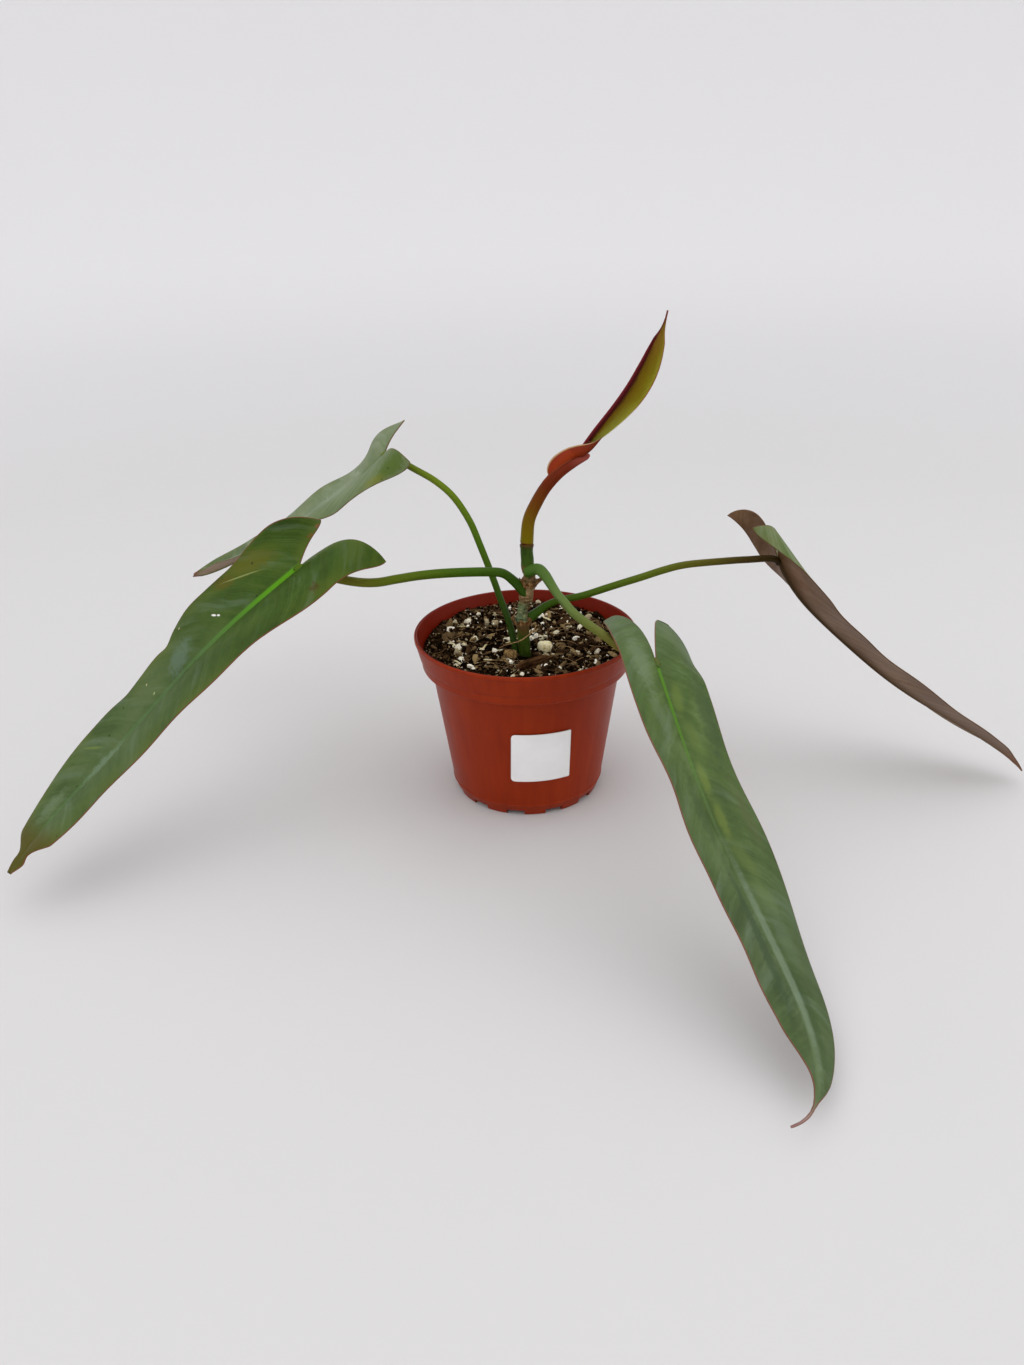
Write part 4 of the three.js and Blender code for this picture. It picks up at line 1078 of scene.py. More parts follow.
def petiole_part(blade):
    """The stalk of a leaf, with a channel along it, that runs on a little way under the blade."""
    leaf = blade.leaf
    ahead = blade.heading([0])[0]
    left = unit(np.cross([0, 0, 1], ahead))
    up = np.cross(ahead, left)
    under, beyond = blade.rib([0, 0.02])
    points = [*leaf["petiole"], under - up, beyond - up * 0.8]
    base, middle, tip = leaf["radii"]

    def radius_at(t, angle):
        swell = np.maximum(0, 1 - t / leaf["base_share"]) ** 1.5
        radius = middle + (base - middle) * swell + (tip - middle) * t**6
        channel = 0.16 * np.exp(-(((angle - math.pi / 2) / 0.5) ** 2))
        wobble = 0.03 * np.sin(5 * angle + 9 * t) + 0.03 * np.sin(26 * t + angle)
        end = np.sqrt(1 - np.clip((t - 0.985) / 0.015, 0, 0.97) ** 2)
        return radius * (1 - channel + wobble) * end

    route = route_points(points, 260)
    side = unit(np.cross(np.gradient(route, axis=0)[40], [0, 0, 1]))
    part_points, faces, values = tube_part(route, 40, radius_at, side)
    zero = np.zeros(len(part_points))
    flat = np.stack([values["along"], values["turn"], zero], 1)
    return part_points, faces, {"blade": flat, "edge": zero, "under": zero}


def leaf_paint(name, look):
    """Blade colours: face, veins, margin, marks and the underside."""
    paint = Paint(name)
    blade = paint.vector("blade")
    along, across, _ = paint.split(blade)
    lateral = paint.math("ABSOLUTE", across)
    edge = paint.value("edge")
    under = paint.value("under")

    bow = paint.times(paint.times(lateral, lateral), VEIN_BEND)
    sweep = paint.plus(paint.times(lateral, VEIN_SWEEP), bow)
    wobble = paint.times(paint.noise(blade, (0.06, 0.06, 1), 2), 6)
    flow = paint.plus(paint.minus(along, sweep), wobble)
    half = paint.math("SIGN", across)

    def along_veins(fineness, seed):
        """Streaks that run with the side veins."""
        along_flow = paint.times(flow, fineness)
        over = paint.times(lateral, 0.035)
        apart = paint.plus(paint.times(half, 3), seed)
        return paint.noise(paint.combine(along_flow, over, apart), 1, 3, 0.6)

    def washed(layer):
        """The layer with the broad washes of colour over it."""
        for start, end, code, strength in look["washes"]:
            wash = paint.times(paint.spread(along, start, end), strength)
            layer = paint.mix(wash, layer, code)
        return layer

    def rib_line(widths, soft, begin, end):
        """How much a place belongs to a rib that begins near the junction."""
        width = paint.spread(along, 0, look["length"], *widths)
        line = paint.minus(1, paint.math("DIVIDE", lateral, width), clamp=True)
        return paint.times(paint.spread(line, 0, soft), paint.spread(along, begin, end))

    streaks = along_veins(0.2, 0)
    threads = along_veins(1.1, 9)
    glints = along_veins(0.12, 20)
    clouds = paint.noise(blade, (0.035, 0.075, 1), 3, 0.5, 0.3)
    fine = paint.noise(blade, (0.5, 0.35, 1), 4, 0.6)
    shade = paint.sum_of((clouds, 0.5), (streaks, 0.35), (fine, 0.15))
    near = paint.ramp(shade, list(zip(SHADES, look["near"])))
    far = paint.ramp(shade, list(zip(SHADES, look["far"])))
    face = paint.mix(paint.spread(along, *look["turn_zone"]), near, far)
    face = paint.mix(paint.spread(threads, 0.52, 0.75, 0, 0.16), face, look["vein"])
    sheen_code, sheen = look["sheen"]
    face = paint.mix(paint.spread(glints, 0.5, 0.72, 0, sheen), face, sheen_code)
    edge_code, edge_share = look["edge_tone"]
    # A tint near the margins, in patches.
    margin_tint_mask = paint.times(paint.spread(edge, 8, 0.5), paint.spread(clouds, 0.35, 0.6))
    face = paint.mix(paint.times(margin_tint_mask, edge_share), face, edge_code)

    rib = rib_line(look["rib_widths"], 0.6, -2, 1)
    fade = paint.spread(along, *look["rib_zone"], *look["rib"])
    rib_colour = paint.mix(paint.spread(along, *look["rib_zone"]), look["rib_near"], look["rib_far"])
    face = paint.mix(paint.times(rib, fade), face, rib_colour)

    face = washed(face)
    for x, y, reach_x, reach_y, turn, code, strength, ragged in look["marks"]:
        away = paint.node("VectorMath", {0: blade, 1: (x, y, 0)}, operation="SUBTRACT").outputs[0]
        away = paint.scaled(paint.turned(away, turn), (1 / reach_x, 1 / reach_y, 0))
        far_off = paint.distance(away)
        if ragged:
            far_off = paint.plus(far_off, paint.centred(fine, ragged * 2))
        face = paint.mix(paint.spread(far_off, 1.15, 0.35, 0, strength), face, code)

    dots = paint.cells(blade, 0.16)
    few = paint.spread(paint.noise(blade, (0.045, 0.07, 1), 2), 0.52, 0.62)
    speck = paint.math("LESS_THAN", dots, paint.times(few, look["specks"]))
    face = paint.mix(paint.times(speck, 0.6), face, "#2b2c10")
    rim = paint.spread(edge, look["margin_width"], look["margin_width"] * 0.4, 0, look["margin_strength"])
    face = paint.mix(rim, face, look["margin"])

    back = paint.ramp(shade, list(zip(SHADES, look["back"])))
    core_code, core_share, core_reach = look["back_core"]
    back = paint.mix(paint.spread(lateral, core_reach, 1, 0, core_share), back, core_code)
    back = paint.mix(paint.spread(threads, 0.52, 0.75, 0, 0.14), back, look["back_vein"])
    back = paint.mix(rib_line((2, 0.8), 0.5, -3, 0), back, look["back_rib"])
    back = washed(back)
    back = paint.mix(paint.times(rim, 0.6), back, look["margin"])
    base = paint.mix(under, face, back)

    gloss = paint.spread(shade, 0.3, 0.7, look["gloss"] - 0.05, look["gloss"] + 0.06)
    cellular = paint.noise(blade, (3, 3, 1), 2)
    relief = paint.sum_of((cellular, 0.2), (threads, 0.6), (fine, 0.4))
    return paint.finish(base, gloss, relief, 0.12, look["shine"])


def petiole_paint(name, stops):
    paint = Paint(name)
    blade = paint.vector("blade")
    along = paint.split(blade)[0]
    streak = paint.noise(blade, (14, 5, 1), 4, 0.6)
    speckle = paint.noise(blade, (160, 14, 1), 3, 0.6)
    base = paint.ramp(paint.plus(along, paint.centred(streak, 0.12)), stops)
    # Painted sheen: pale streaks along the stalk.
    base = paint.mix(paint.spread(streak, 0.5, 0.8, 0, 0.14), base, "#76883a")
    base = paint.mix(paint.spread(speckle, 0.6, 0.8, 0, 0.3), base, "#1c2608")
    relief = paint.plus(streak, paint.times(speckle, 0.4))
    return paint.finish(base, paint.spread(streak, 0.3, 0.7, 0.3, 0.4), relief, 0.12, 0.07)


# A mark: its centre and its reach, each along and across the blade, turn, colour, strength, raggedness.
# A wash: where it starts and ends along the blade, colour and strength.
LOOKS = {
    "leaf_left_front": {
        "near": ("#2b400c", "#374e12", "#42581a"), "far": ("#3d5027", "#495d32", "#56663e"),
        "turn_zone": (15, 95), "vein": "#6c8450", "sheen": ("#73846f", 0.26),
        "edge_tone": ("#54601d", 0.5), "rib_near": "#559012", "rib_far": "#5c7d4c", "rib": (1, 0.4),
        "rib_zone": (12, 70), "rib_widths": (2.1, 1), "washes": [(143, 156, "#4f4a14", 0.95)],
        "marks": [
            (14, -16, 15, 6.5, -20, "#585a10", 0.75, 0.5), (28, -17, 6, 4, -20, "#5c4f0e", 0.55, 0.6),
            (20.5, -13.7, 10.5, 0.45, -25, "#8f9a5c", 0.65, 0),
            (-13, -8.2, 2.6, 0.9, 0, "#6b4a20", 0.7, 1.2), (-17.5, -10, 1.4, 1, 0, "#7c4f3a", 0.7, 0.8),
            # The second mark on this line and both on the next are greyish patches: partly painted sheen,
            # partly dust.
            (-19, 18, 9, 6, 10, "#4b5c1e", 0.55, 0.8), (62, -7, 10, 5.5, 25, "#657868", 0.5, 0.9),
            (114, 0.8, 14, 2.6, 0, "#76886f", 0.6, 0.8), (140, -5, 9, 3.5, 0, "#6d7d5e", 0.5, 0.8),
            (113, -9, 5.5, 0.7, -50, "#75853e", 0.5, 0.2), (4.6, 16.5, 3.2, 2, 50, "#46300f", 0.6, 1.4),
            (38.4, -7.2, 0.8, 0.5, -50, "#eceae4", 1, 0.3),
            (39.8, -8.7, 1.3, 0.55, -50, "#eceae4", 1, 0.4), (21.5, -2.2, 0.7, 0.5, 0, "#202b0c", 0.9, 0),
            (57.7, 0.2, 0.6, 0.45, 0, "#1d280c", 0.9, 0), (63, 1, 1.7, 0.5, 15, "#141006", 0.95, 0),
            (13, -15, 0.9, 0.5, 30, "#2c200a", 0.8, 0), (54.8, -18, 0.7, 0.5, 0, "#b0a684", 0.8, 0),
            (80.3, -11.7, 0.7, 0.4, 60, "#c2b682", 0.9, 0), (79.7, -4.5, 0.9, 0.4, 20, "#a8b27c", 0.9, 0),
            (93.8, -12.6, 0.5, 0.5, 0, "#232c0f", 0.9, 0), (105, -7.3, 0.5, 0.5, 0, "#232c0f", 0.9, 0),
            (127.7, -1.6, 0.5, 0.4, 0, "#232c0f", 0.9, 0),
        ],
        "specks": 0.07, "margin": "#74402f", "margin_width": 0.55, "margin_strength": 0.8,
        "back": ("#4f4028", "#625135", "#756447"), "back_core": ("#4a3d1c", 0.5, 6),
        "back_vein": "#8a7a5e", "back_rib": "#4c5218", "gloss": 0.42, "shine": 0.1,
        "petiole": [
            (0, "#253f05"), (0.3, "#385508"), (0.6, "#546210"), (0.85, "#6a6420"), (1, "#42600f"),
        ],
    },
    "leaf_right_front": {
        "near": ("#3d5025", "#4b602f", "#5c7040"), "far": ("#394a28", "#465831", "#556641"),
        "turn_zone": (40, 130), "vein": "#74885c", "sheen": ("#7c8c77", 0.26),
        "edge_tone": ("#3f522c", 0.4), "rib_near": "#548222", "rib_far": "#6d8058", "rib": (0.85, 0.3),
        "rib_zone": (20, 85), "rib_widths": (1.1, 1.2), "washes": [(168, 178, "#94827c", 0.95)],
        "marks": [
            # Painted sheen: the two greyish patches on this line.
            (3, -8.5, 16, 5, 0, "#6e8062", 0.5, 0.8), (26, -9, 13, 4, 0, "#697c5c", 0.4, 0.8),
            (19, 3.6, 9, 2.6, -5, "#6a7a36", 0.45, 0.6), (36, 5, 10, 3, 10, "#637538", 0.45, 0.6),
            (52, 3, 8, 2.2, 0, "#74843c", 0.5, 0.6), (68, 3.4, 9, 2.4, 0, "#72803a", 0.5, 0.6),
            (84, 5.5, 9, 3, 15, "#66763c", 0.4, 0.6), (97, 6.5, 9, 3.4, 20, "#647640", 0.35, 0.6),
            # The first mark on this line is a painted sheen.
            (112, 7, 14, 4, 0, "#64765a", 0.35, 0.8), (24, 14, 28, 4.5, 0, "#3c4e30", 0.5, 0.7),
            # The second mark on this line is painted shade in the groove beside the rib.
            (67, 15, 16, 3, 0, "#5c5c3c", 0.35, 1.2), (66, -7, 16, 4, 0, "#3d5030", 0.45, 0.7),
            # Painted shade: both marks on this line, dark bands either side of the rib's fold towards the
            # tip; the next line is a painted highlight along the rib's ridge.
            (112, -5.4, 34, 3, 0, "#34472a", 0.7, 0.5), (140, 3.4, 24, 2, 0, "#384b2a", 0.55, 0.5),
            (122, 1.2, 46, 1.6, 0, "#7f9079", 0.5, 0.4),
        ],
        "specks": 0.025, "margin": "#7d463c", "margin_width": 0.55, "margin_strength": 0.75,
        "back": ("#54462f", "#66573f", "#796a53"), "back_core": ("#4f4324", 0.4, 6),
        "back_vein": "#8c7c66", "back_rib": "#5c5c2a", "gloss": 0.44, "shine": 0.12,
        "petiole": [
            (0, "#3c5c1a"), (0.3, "#5a7038"), (0.6, "#62662c"), (0.85, "#66541a"), (1, "#4d5f2e"),
        ],
    },
    "leaf_left_rear": {
        "near": ("#56673b", "#64744a", "#74815c"), "far": ("#4a5c32", "#56673b", "#63734a"),
        "turn_zone": (60, 120), "vein": "#8d9b78", "sheen": ("#98a48c", 0.4),
        "edge_tone": ("#5c6a34", 0.4), "rib_near": "#83926a", "rib_far": "#87936f", "rib": (0.6, 0.4),
        "rib_zone": (10, 90), "rib_widths": (0.9, 0.6), "washes": [(163, 169, "#6b4226", 0.9)],
        "marks": [
            (-8, 12.5, 13, 6, 10, "#4f6420", 0.9, 0.5), (4, 16, 8, 3.4, 0, "#6f7416", 0.6, 0.6),
            # The first mark on this line is a painted sheen along the middle of the blade.
            (50, 0, 30, 7, 0, "#84927a", 0.5, 0.7), (-14, -8, 3, 1.6, 0, "#7a4436", 0.6, 0.5),
            (-6, 13.3, 0.7, 0.6, 0, "#26300f", 0.9, 0), (57.4, -4.8, 0.7, 0.6, 0, "#2c3518", 0.9, 0),
            (-1, 17.4, 0.5, 0.5, 0, "#2c2c10", 0.8, 0),
        ],
        "specks": 0.05, "margin": "#6b4630", "margin_width": 0.5, "margin_strength": 0.6,
        "back": ("#735e4a", "#84705a", "#98836b"), "back_core": ("#7a6a58", 0.3, 4),
        "back_vein": "#a08c78", "back_rib": "#5c5c30", "gloss": 0.46, "shine": 0.14,
        "petiole": [
            (0, "#1c3004"), (0.25, "#243c04"), (0.5, "#3f5c04"), (0.75, "#617314"), (1, "#5c6c1c"),
        ],
    },
    "leaf_right": {
        "near": ("#51622c", "#5c6c3a", "#6a7a4d"), "far": ("#47592e", "#536636", "#627244"),
        "turn_zone": (20, 90), "vein": "#86976a", "sheen": ("#93a084", 0.35),
        "edge_tone": ("#6b6a3a", 0.5), "rib_near": "#74904a", "rib_far": "#80905c", "rib": (0.7, 0.5),
        "rib_zone": (10, 90), "rib_widths": (1.2, 0.8),
        "washes": [(60, 150, "#86705f", 0.5), (146, 162, "#7b5037", 0.75)],
        "marks": [(-6, 14, 7, 4, 0, "#57782c", 0.5, 0.6)], "specks": 0.03, "margin": "#5a3620",
        # The underside colours are the blade's own brown with painted light shining through it.
        "margin_width": 0.5, "margin_strength": 0.8, "back": ("#5e442e", "#70543c", "#836954"),
        "back_core": ("#4a3213", 0.8, 7), "back_vein": "#75604e", "back_rib": "#3a280c", "gloss": 0.44,
        "shine": 0.14,
        "petiole": [
            (0, "#2b470a"), (0.3, "#42580c"), (0.5, "#525e14"), (0.68, "#555014"), (0.85, "#3f3110"),
            (1, "#2b1c0a"),
        ],
    },
}


def make_leaf(name, seed):
    leaf = LEAVES[name]
    look = {**LOOKS[name], "length": leaf["length"]}
    blade = Blade(leaf)
    halves = [side_part(blade, side, seed + side["sign"]) for side in blade_sides(leaf)]
    sheet = welded(mesh_from(name + "_blade", *joined(halves)), 0.004)
    fill_holes(sheet)
    stalk = mesh_from(name + "_stalk", *petiole_part(blade))
    stalk.polygons.foreach_set("material_index", [1] * len(stalk.polygons))
    paints = [leaf_paint(name + "_face", look), petiole_paint(name + "_stalk", look["petiole"])]
    finished(name + "_fine", merged(name + "_fine", [sheet, stalk]), paints, [name])


def fill_holes(mesh):
    """Closes what is open along a blade's tip."""
    work = bmesh.new()
    work.from_mesh(mesh)
    open_edges = [edge for edge in work.edges if edge.is_boundary]
    if open_edges:
        bmesh.ops.holes_fill(work, edges=open_edges, sides=0)
        bmesh.ops.recalc_face_normals(work, faces=work.faces)
    work.to_mesh(mesh)
    work.free()


# Sheath and new leaf
SHEATH_ROUTE = [
    [1, -12, STEM_TOP + 0.2], [2.1, -12, 131.7], [5.5, -12, 139.4], [9.6, -12, 146], [15, -12, 151.6],
    [21, -12, 155.4], [27, -12, 158.4],
]
SHEATH_RADII = [[0, 2.8], [0.2, 2.65], [0.45, 2.5], [0.7, 2.3], [0.88, 1.7], [1, 1.2]]
STALK_ROUTE = [
    [8.6, -12.1, 147.2], [13.4, -12.1, 152.6], [19, -12, 156.9], [23.5, -12, 160.2], [27, -11.8, 163.8],
]
STALK_RADIUS = 1.1
NEW_LEAF_HALF = 0.24
FLAP_DEPTH = -12.1
FLAP_EDGE = [
    (32.2, 165.7), (30.6, 164.9), (28.6, 163.9), (26.4, 163.5), (24.4, 163.2), (22.4, 163.1),
    (20.4, 162.2), (16.4, 160.9), (14.4, 159.6), (12.6, 158.2), (10.6, 156.6), (9, 153.6),
    (9.8, 151.2), (10.2, 150), (11, 149), (12, 148.5),
]
FLAP_SEAM = [
    (32, 165.4), (29.6, 163), (27.4, 160.4), (24.6, 158.6), (20, 156.6), (15.5, 152.6), (12, 148.5),
]
NEW_LEAF_ROWS = [
    [0, 23.8, -12, 159.6, 1, 1.2], [0.09, 27.4, -11.6, 164.2, 1.7, 1.4],
    [0.16, 30.2, -11.3, 167.7, 3.4, 1.5], [0.33, 37.3, -10.7, 176.5, 5.8, 1.5],
    [0.49, 43, -10, 184.4, 6.9, 1.5], [0.65, 47.6, -9.4, 192.7, 6.6, 1.25],
    [0.81, 52, -8.8, 201.9, 4.2, 0.7], [0.88, 54.2, -8.5, 206, 1.7, 0.2],
    [0.94, 55.7, -8.2, 209.4, 0.5, 0.2], [1, 56.5, -8, 212.6, 0.3, 0.2],
]


def sheath_paint():
    paint = Paint("sheath_skin")
    along = paint.value("along")
    turn = paint.value("turn")
    place = paint.place()
    lines = paint.noise(paint.combine(along, turn), (3, 9, 1))
    shifted = paint.plus(along, paint.centred(lines, 0.15))
    stops = [(0, "#6c6003"), (0.16, "#6a5504"), (0.34, "#653b08"), (0.55, "#61240a"), (0.8, "#6a2412")]
    base = paint.ramp(shifted, [*stops, (0.97, "#90463c")])
    base = paint.mix(paint.spread(lines, 0.55, 0.8, 0, 0.22), base, "#a87a48")
    base = paint.mix(paint.spread(along, 0.02, 0, 0, 0.8), base, "#5c2a12")
    relief = paint.plus(lines, paint.times(paint.noise(place, 900, 2), 0.3))
    return paint.finish(base, 0.36, relief, 0.15, 0.05)


def make_sheath():
    path = route_points(SHEATH_ROUTE, 160)

    def radius_at(t, angle):
        radius = through(SHEATH_RADII, t[:, 0])
        ridge = 0.05 * np.cos(2 * angle + 1) + 0.02 * np.sin(7 * angle)
        end = np.sqrt(1 - np.clip((t - 0.96) / 0.04, 0, 0.96) ** 2)
        return radius * (1 - 0.04 + ridge) * end

    mesh = mesh_from("sheath_fine", *tube_part(path, 48, radius_at))
    finished("sheath_fine", mesh, [sheath_paint()], ["sheath"])


def new_leaf_paint():
    """Olive open half, burgundy roll and an orange-red lobe, by the zone of each point."""
    paint = Paint("new_leaf_skin")
    sheet = paint.vector("sheet")
    along, across, zone = paint.split(sheet)
    flow = paint.minus(paint.times(along, 55), paint.times(across, 16))
    cycle = paint.math("FRACT", paint.math("DIVIDE", flow, 2.4))
    veins = paint.spread(paint.math("ABSOLUTE", paint.minus(cycle, 0.5)), 0.3, 0.5)
    blotch = paint.noise(sheet, (6, 2, 1), 3)
    stops = [(0, "#4d3203"), (0.12, "#6b5203"), (0.4, "#746004"), (0.7, "#7a6f09"), (0.92, "#888220")]
    olive = paint.ramp(paint.plus(across, paint.centred(blotch, 0.5)), stops)
    lower = paint.times(paint.spread(along, 0.5, 0.08), paint.spread(across, 0.1, 0.6))
    olive = paint.mix(paint.times(lower, 0.65), olive, "#8d923c")
    olive = paint.mix(paint.times(veins, 0.3), olive, "#5a430a")
    tipward = paint.spread(along, 0.62, 0.95)
    olive = paint.mix(paint.times(tipward, 0.55), olive, "#7e5226")
    margin = paint.spread(across, 0.94, 0.985)
    fringe = paint.mix(paint.spread(along, 0.25, 0.5), "#b9b487", "#8a4a30")
    olive = paint.mix(margin, olive, fringe)
    # The roll is its own burgundy; the pink stop at 0.62 is a painted highlight along the roll's edge.
    stops = [(0, "#4a150a"), (0.2, "#4a0a0c"), (0.5, "#5c1016"), (0.62, "#b0646e"), (0.7, "#68181c")]
    roll = paint.ramp(paint.times(across, -1), [*stops, (1, "#4c0c10")])
    base = paint.mix(paint.spread(across, 0.02, -0.02), olive, roll)
    base = paint.mix(paint.spread(along, 0.9, 0.97), base, "#7a3a2c")
    stops = [(0, "#6a1f0a"), (0.4, "#923410"), (0.8, "#8a2f16"), (1, "#6c2214")]
    lobe = paint.ramp(paint.plus(across, paint.centred(blotch, 0.3)), stops)
    # Painted shade: the lobe darkens towards its right end (+X).
    lobe = paint.mix(paint.spread(along, 0.5, 0.1, 0, 0.7), lobe, "#58200c")
    lobe = paint.mix(paint.spread(across, 0.88, 0.96), lobe, "#b4946c")
    base = paint.mix(paint.spread(zone, 0.4, 0.6), base, lobe)
    stalk = paint.ramp(along, [(0, "#7c3216"), (1, "#8a4a34")])
    base = paint.mix(paint.spread(zone, 1.4, 1.6), base, stalk)
    return paint.finish(base, 0.34, veins, 0.06, 0.08)


def new_blade_part():
    """The young blade: an open half on its right, and a half rolled in on its left."""
    rows, columns = 150, 60
    s = np.linspace(0, 1, rows)
    table = through(NEW_LEAF_ROWS, s)
    rib, opened, rolled = table[:, :3], table[:, 3], table[:, 4]
    ahead = unit(np.gradient(rib, axis=0))
    to_front = unit(np.array([0.0, -1.0, 0.0])[None, :] + ahead * ahead[:, 1:2])
    right = np.cross(ahead, to_front)
    sections = []
    for open_, roll in zip(opened, rolled):
        turned = np.clip((roll - 0.4) / 0.6, 0, 1)
        corners = [
            [0, open_, 0.16 * open_], [0.22, open_ * 0.66, -0.02 * open_],
            [0.44, open_ * 0.33, -0.06 * open_], [0.64, 0, 0],
            [0.76, -roll * (0.5 + 0.5 * turned), 0.25 * roll * turned],
            [0.88, -roll * (1 + 0.35 * turned), roll * turned],
            [1, -roll * (1.5 - 0.65 * turned), 1.6 * roll * turned],
        ]
        sections.append(through(corners, np.linspace(0, 1, columns)))
    sections = np.array(sections)
    tangent = unit(np.gradient(sections, axis=1))
    outward = np.stack([tangent[..., 1], -tangent[..., 0]], axis=-1)
    edge_round = np.sqrt(1 - (1 - np.minimum(np.arange(columns) / 2.5, 1)) ** 2)
    edge_round = np.minimum(edge_round, edge_round[::-1])[None, :, None]

    def lay(flat):
        return rib[:, None] + right[:, None] * flat[..., :1] + to_front[:, None] * flat[..., 1:]

    front = lay(sections + outward * NEW_LEAF_HALF * edge_round)
    back = lay(sections - outward * NEW_LEAF_HALF * edge_round)
    place = np.linspace(0, 1, columns)
    across = np.where(place < 0.64, 1 - place / 0.64, -(place - 0.64) / 0.36)
    sheet = np.stack(np.broadcast_arrays(s[:, None], across[None, :], 0.0), axis=-1).reshape(-1, 3)
    points = np.vstack([front.reshape(-1, 3), back.reshape(-1, 3)])
    return points, double_faces(rows, columns), {"sheet": np.tile(sheet, (2, 1))}


def curve_through(corners, steps):
    """Points on cubic curves laid end to end, each from one corner to the third one on."""
    points = [np.array(corners[:1], float)]
    for i, count in enumerate(steps):
        t = np.linspace(0, 1, count)[1:, None]
        p0, p1, p2, p3 = np.array(corners[3 * i : 3 * i + 4], float)
        points.append((1 - t) ** 3 * p0 + 3 * (1 - t) ** 2 * t * p1 + 3 * (1 - t) * t**2 * p2 + t**3 * p3)
    return np.vstack(points)


def new_lobe_part():
    """The round flap: a sheet between its free edge and the mouth of the sheath."""
    free = curve_through(FLAP_EDGE, (16, 16, 22, 26, 10))
    seam = curve_through(FLAP_SEAM, (24, len(free) - 23))
    rows, columns = len(free), 24
    share = np.linspace(0, 1, columns)[None, :]
    flat = seam[:, None] * (1 - share[..., None]) + free[:, None] * share[..., None]
    t = np.linspace(0, 1, rows)[:, None]
    cup = 0.9 * np.sin(math.pi * share) * np.sin(math.pi * t)
    lean = 0.5 * share**2 * np.sin(math.pi * t)
    wrap = 2.4 * np.sin(math.pi * np.clip(t / 0.4, 0, 1))
    y = FLAP_DEPTH - cup + lean - wrap
    edge = np.minimum(1, (1 - share) * 6)
    thick = NEW_LEAF_HALF * np.sqrt(1 - (1 - edge) ** 2)
    both = [np.stack([flat[..., 0], y + sign * thick, flat[..., 1]], axis=-1) for sign in (-1, 1)]
    sheet = np.stack(np.broadcast_arrays(t, share, 1.0), axis=-1).reshape(-1, 3)
    return np.reshape(both, (-1, 3)), double_faces(rows, columns), {"sheet": np.tile(sheet, (2, 1))}


def make_new_leaf():
    parts = []
    for part in (new_blade_part(), new_lobe_part()):
        mesh = welded(mesh_from("new_leaf_sheet", *part), 0.01)
        fill_holes(mesh)
        parts.append(mesh)
    path = route_points(STALK_ROUTE, 60)
    points, faces, values = tube_part(path, 28, lambda t, a: STALK_RADIUS * (1 - 0.35 * t) + 0 * a)
    sheet = np.stack([values["along"], values["turn"], np.full(len(points), 2.0)], axis=1)
    parts.append(mesh_from("new_leaf_stalk", points, faces, {"sheet": sheet}))
    mesh = merged("new_leaf_fine", parts)
    finished("new_leaf_fine", mesh, [new_leaf_paint()], ["new_leaf"])


# Collars and the dry fibre
COLLARS = {
    "collar_lower": {"height": 86.5, "rise": 3, "reach": 1.6, "back": 0.9, "turn": 0.3},
    "collar_upper": {"height": 103.5, "rise": 3.6, "reach": 2.8, "back": 0.2, "turn": -0.2},
}


def paper_paint():
    paint = Paint("dry_sheath", 0.8)
    place = paint.place()
    fibres = paint.noise(place, (1300, 1300, 260), 4, 0.65)
    clouds = paint.noise(place, 320, 3)
    tone = paint.sum_of((fibres, 0.6), (clouds, 0.4))
    base = paint.ramp(tone, [(0.34, "#241307"), (0.46, "#58391c"), (0.56, "#8b6a42"), (0.72, "#bda075")])
    return paint.finish(base, None, fibres, 0.3)


def stem_centre(z):
    return through([[height, x, y] for x, y, height in STEM_ROUTE], [z])[0]


def make_collars():
    """Torn papery rings round the stem, each with an outer and an inner face."""
    for seed, (name, collar) in enumerate(COLLARS.items()):
        sides, steps = 150, 14
        angle = full_turn(sides)
        x, y = stem_centre(collar["height"])
        base = through(STEM_RADII, [collar["height"]])[0, 0] + 0.1
        turn = collar["turn"]
        torn = 0.5 + 0.5 * np.sin(2 * angle + turn) * np.cos(5 * angle + 2 * turn)
        ring = np.stack([9 * np.cos(angle), 9 * np.sin(angle), 0 * angle], axis=1)
        ragged = torn + 0.16 * roughness_field(ring, 3, 51 + seed, 3)
        facing = np.cos(angle - turn)
        wide = np.where(facing > 0, 0.8, collar["back"] - 0.2)
        flare = collar["reach"] * (0.2 + wide * facing**2)
        rise = collar["rise"] * (0.35 + 0.65 * ragged)
        rings = []
        shares = np.linspace(0, 1, steps + 1).tolist()
        for thick, ways in ((0.16, shares), (-0.16, shares[::-1])):
            for t in ways:
                crease = 0.22 * t * np.sin(9 * angle + 4 * t + seed)
                radius = base + flare * t**1.4 + thick + crease * 0.6
                z = collar["height"] - 0.6 + (rise + 0.6) * t + 0.12 * np.sin(13 * angle) * t
                ring_x, ring_y = x + radius * np.cos(angle), y + radius * np.sin(angle)
                rings.append(np.stack([ring_x, ring_y, z], axis=1))
        faces = grid_faces(len(rings), sides, loop=True)
        last = (len(rings) - 1) * sides
        for j in range(sides):
            k = (j + 1) % sides
            faces.append((last + j, last + k, k, j))
        points = np.vstack(rings)
        mesh = mesh_from(name + "_fine", points, faces)
        finished(name + "_fine", mesh, [paper_paint()], [name])


FIBRE_ROUTE = [
    [4.6, -14.6, 85.2], [3.5, -17.5, 84.5], [1.7, -18.5, 82.9], [-0.9, -18.8, 80.9], [-3.5, -18.5, 79.4],
    [-6.6, -16.3, 77.5], [-9.2, -12, 74.8], [-11.8, -8, 71.8],
]


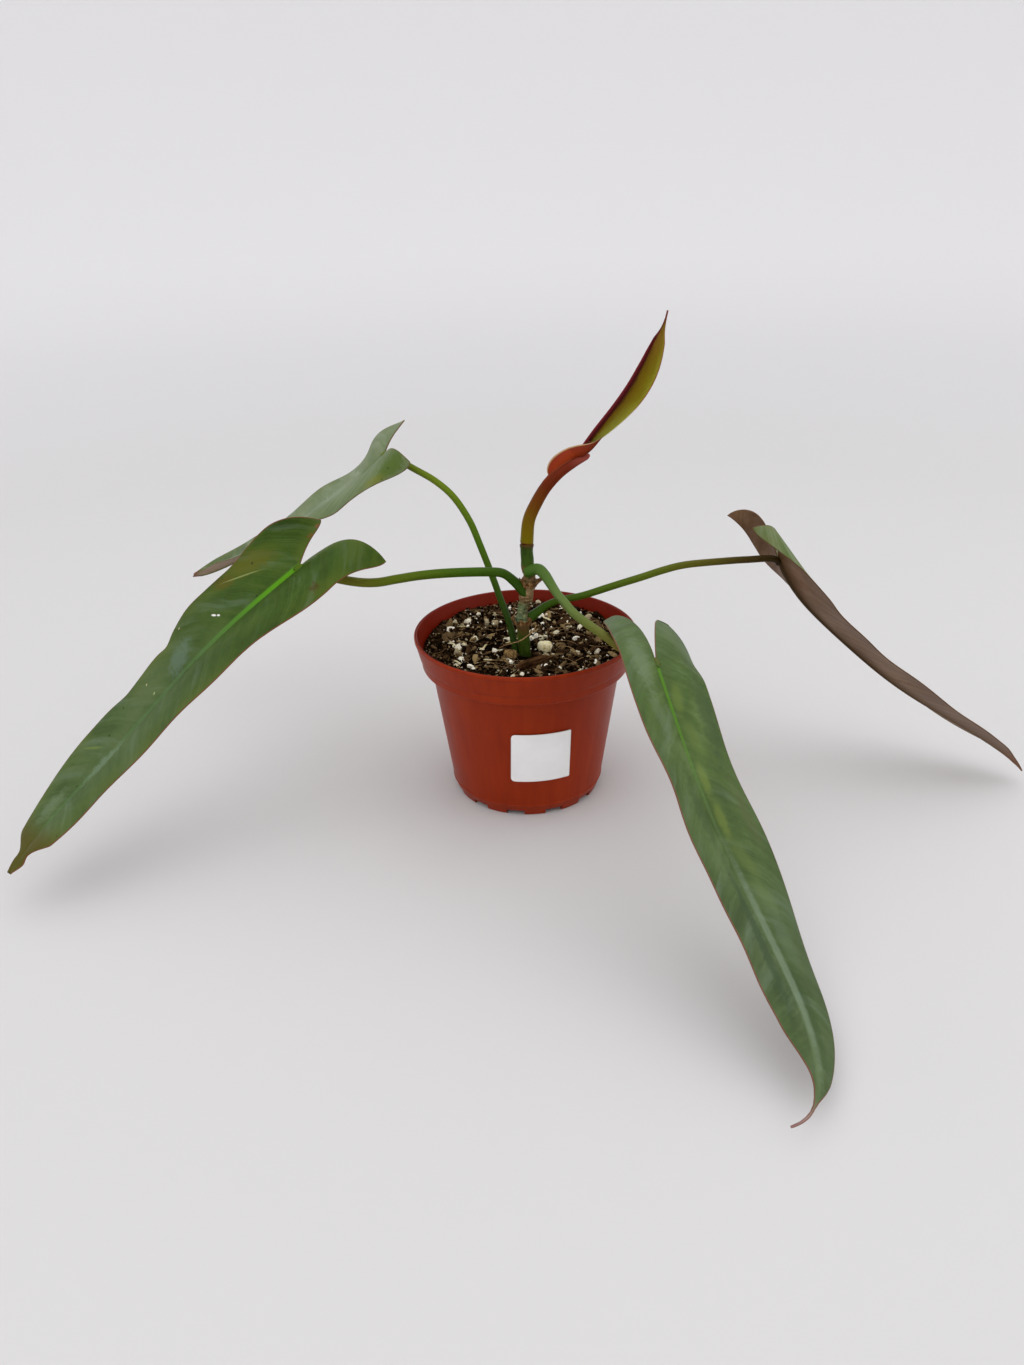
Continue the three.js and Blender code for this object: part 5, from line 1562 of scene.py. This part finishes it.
def make_fibre():
    path = route_points(FIBRE_ROUTE, 90)
    part = tube_part(path, 12, lambda t, a: 0.3 * (1 - 0.4 * t) + 0.04 * np.sin(3 * a + 20 * t))
    paint = Paint("dry_strand", 0.8)
    streak = paint.noise(paint.place(), 800, 3)
    base = paint.ramp(streak, [(0.3, "#6d4f2f"), (0.6, "#a5855a"), (0.8, "#c9ad80")])
    mesh = mesh_from("dry_strand", *part)
    finished("dry_strand", mesh, [paint.finish(base, None, streak, 0.1)], ["dry_fibre"])


# Stage, light and camera
def make_stage():
    """A pale floor whose rim curves up all round, so that it meets the view with no line."""
    paint = Paint("backdrop", 0.9)
    # Painted light: the floor is paler further out, so that the curved rim, which gets less light, reads
    # brighter.
    away = paint.spread(paint.distance(paint.place()), 0, 3)
    paint.finish(paint.ramp(away, [(0.12, "#d2d0d0"), (0.25, "#d7d5d6"), (0.8, "#eae8e9")]), shine=0)
    flat, bend, wall = 1600, 1400, 300
    profile = [(r, 0) for r in (0, 300, 700, flat)]
    for k in range(1, 19):
        a = math.radians(5 * k)
        profile.append((flat + bend * math.sin(a), bend * (1 - math.cos(a))))
    profile.append((flat + bend, bend + wall))
    sides = 96
    angle = full_turn(sides)
    points = [[r * math.cos(a), r * math.sin(a), z] for r, z in profile[1:] for a in angle]
    faces = turned_over(grid_faces(len(profile) - 1, sides, loop=True))
    mesh = mesh_from("floor", points, [*faces, tuple(range(sides))])
    mesh.shade_smooth()
    mesh.materials.append(paint.material)
    floor = linked("floor", mesh)


def add_light(name, place, target, size, power):
    """A rectangle of light at a place, turned towards a target, in metres and watts."""
    light = bpy.data.lights.new(name, "AREA")
    light.shape = "RECTANGLE"
    light.size, light.size_y = size
    light.energy = power
    lamp = linked(name, light)
    lamp.location = place
    aim = Vector(target) - Vector(place)
    lamp.rotation_euler = aim.to_track_quat("-Z", "Y").to_euler()


def make_lights():
    world = bpy.data.worlds.new("studio")
    world.use_nodes = True
    sky = world.node_tree.nodes["Background"]
    sky.inputs["Color"].default_value = (0.98, 0.99, 1, 1)
    sky.inputs["Strength"].default_value = 1
    bpy.context.scene.world = world
    add_light("key", (-0.8, -0.7, 0.95), (0, 0, 0.08), (1.2, 1.2), 3)
    add_light("top", (-0.2, 0.2, 1.5), (0, 0, 0.05), (1.8, 1.6), 2.6)
    add_light("side", (1, -0.3, 0.6), (0, 0, 0.06), (0.9, 1), 2.5)


def make_camera():
    lens = bpy.data.cameras.new("camera")
    lens.sensor_width = FILM_WIDTH
    lens.lens = FILM_WIDTH * FOCAL_SHARE
    lens.clip_start = 0.01
    camera = linked("camera", lens)
    tilt = Matrix.Rotation(math.radians(90 - CAMERA_TILT), 4, "X")
    roll = Matrix.Rotation(math.radians(CAMERA_ROLL), 4, "Z")
    camera.matrix_world = Matrix.Translation(Vector(CAMERA_PLACE) * MM) @ tilt @ roll
    bpy.context.scene.camera = camera


make_camera()
make_stage()
make_lights()
make_pot()
make_label()
make_soil()
make_lumps()
make_stem()
make_collars()
for leaf_number, leaf_name in enumerate(LEAVES):
    make_leaf(leaf_name, 60 + 10 * leaf_number)
make_sheath()
make_new_leaf()
make_fibre()
bpy.context.scene.view_settings.view_transform = "Standard"
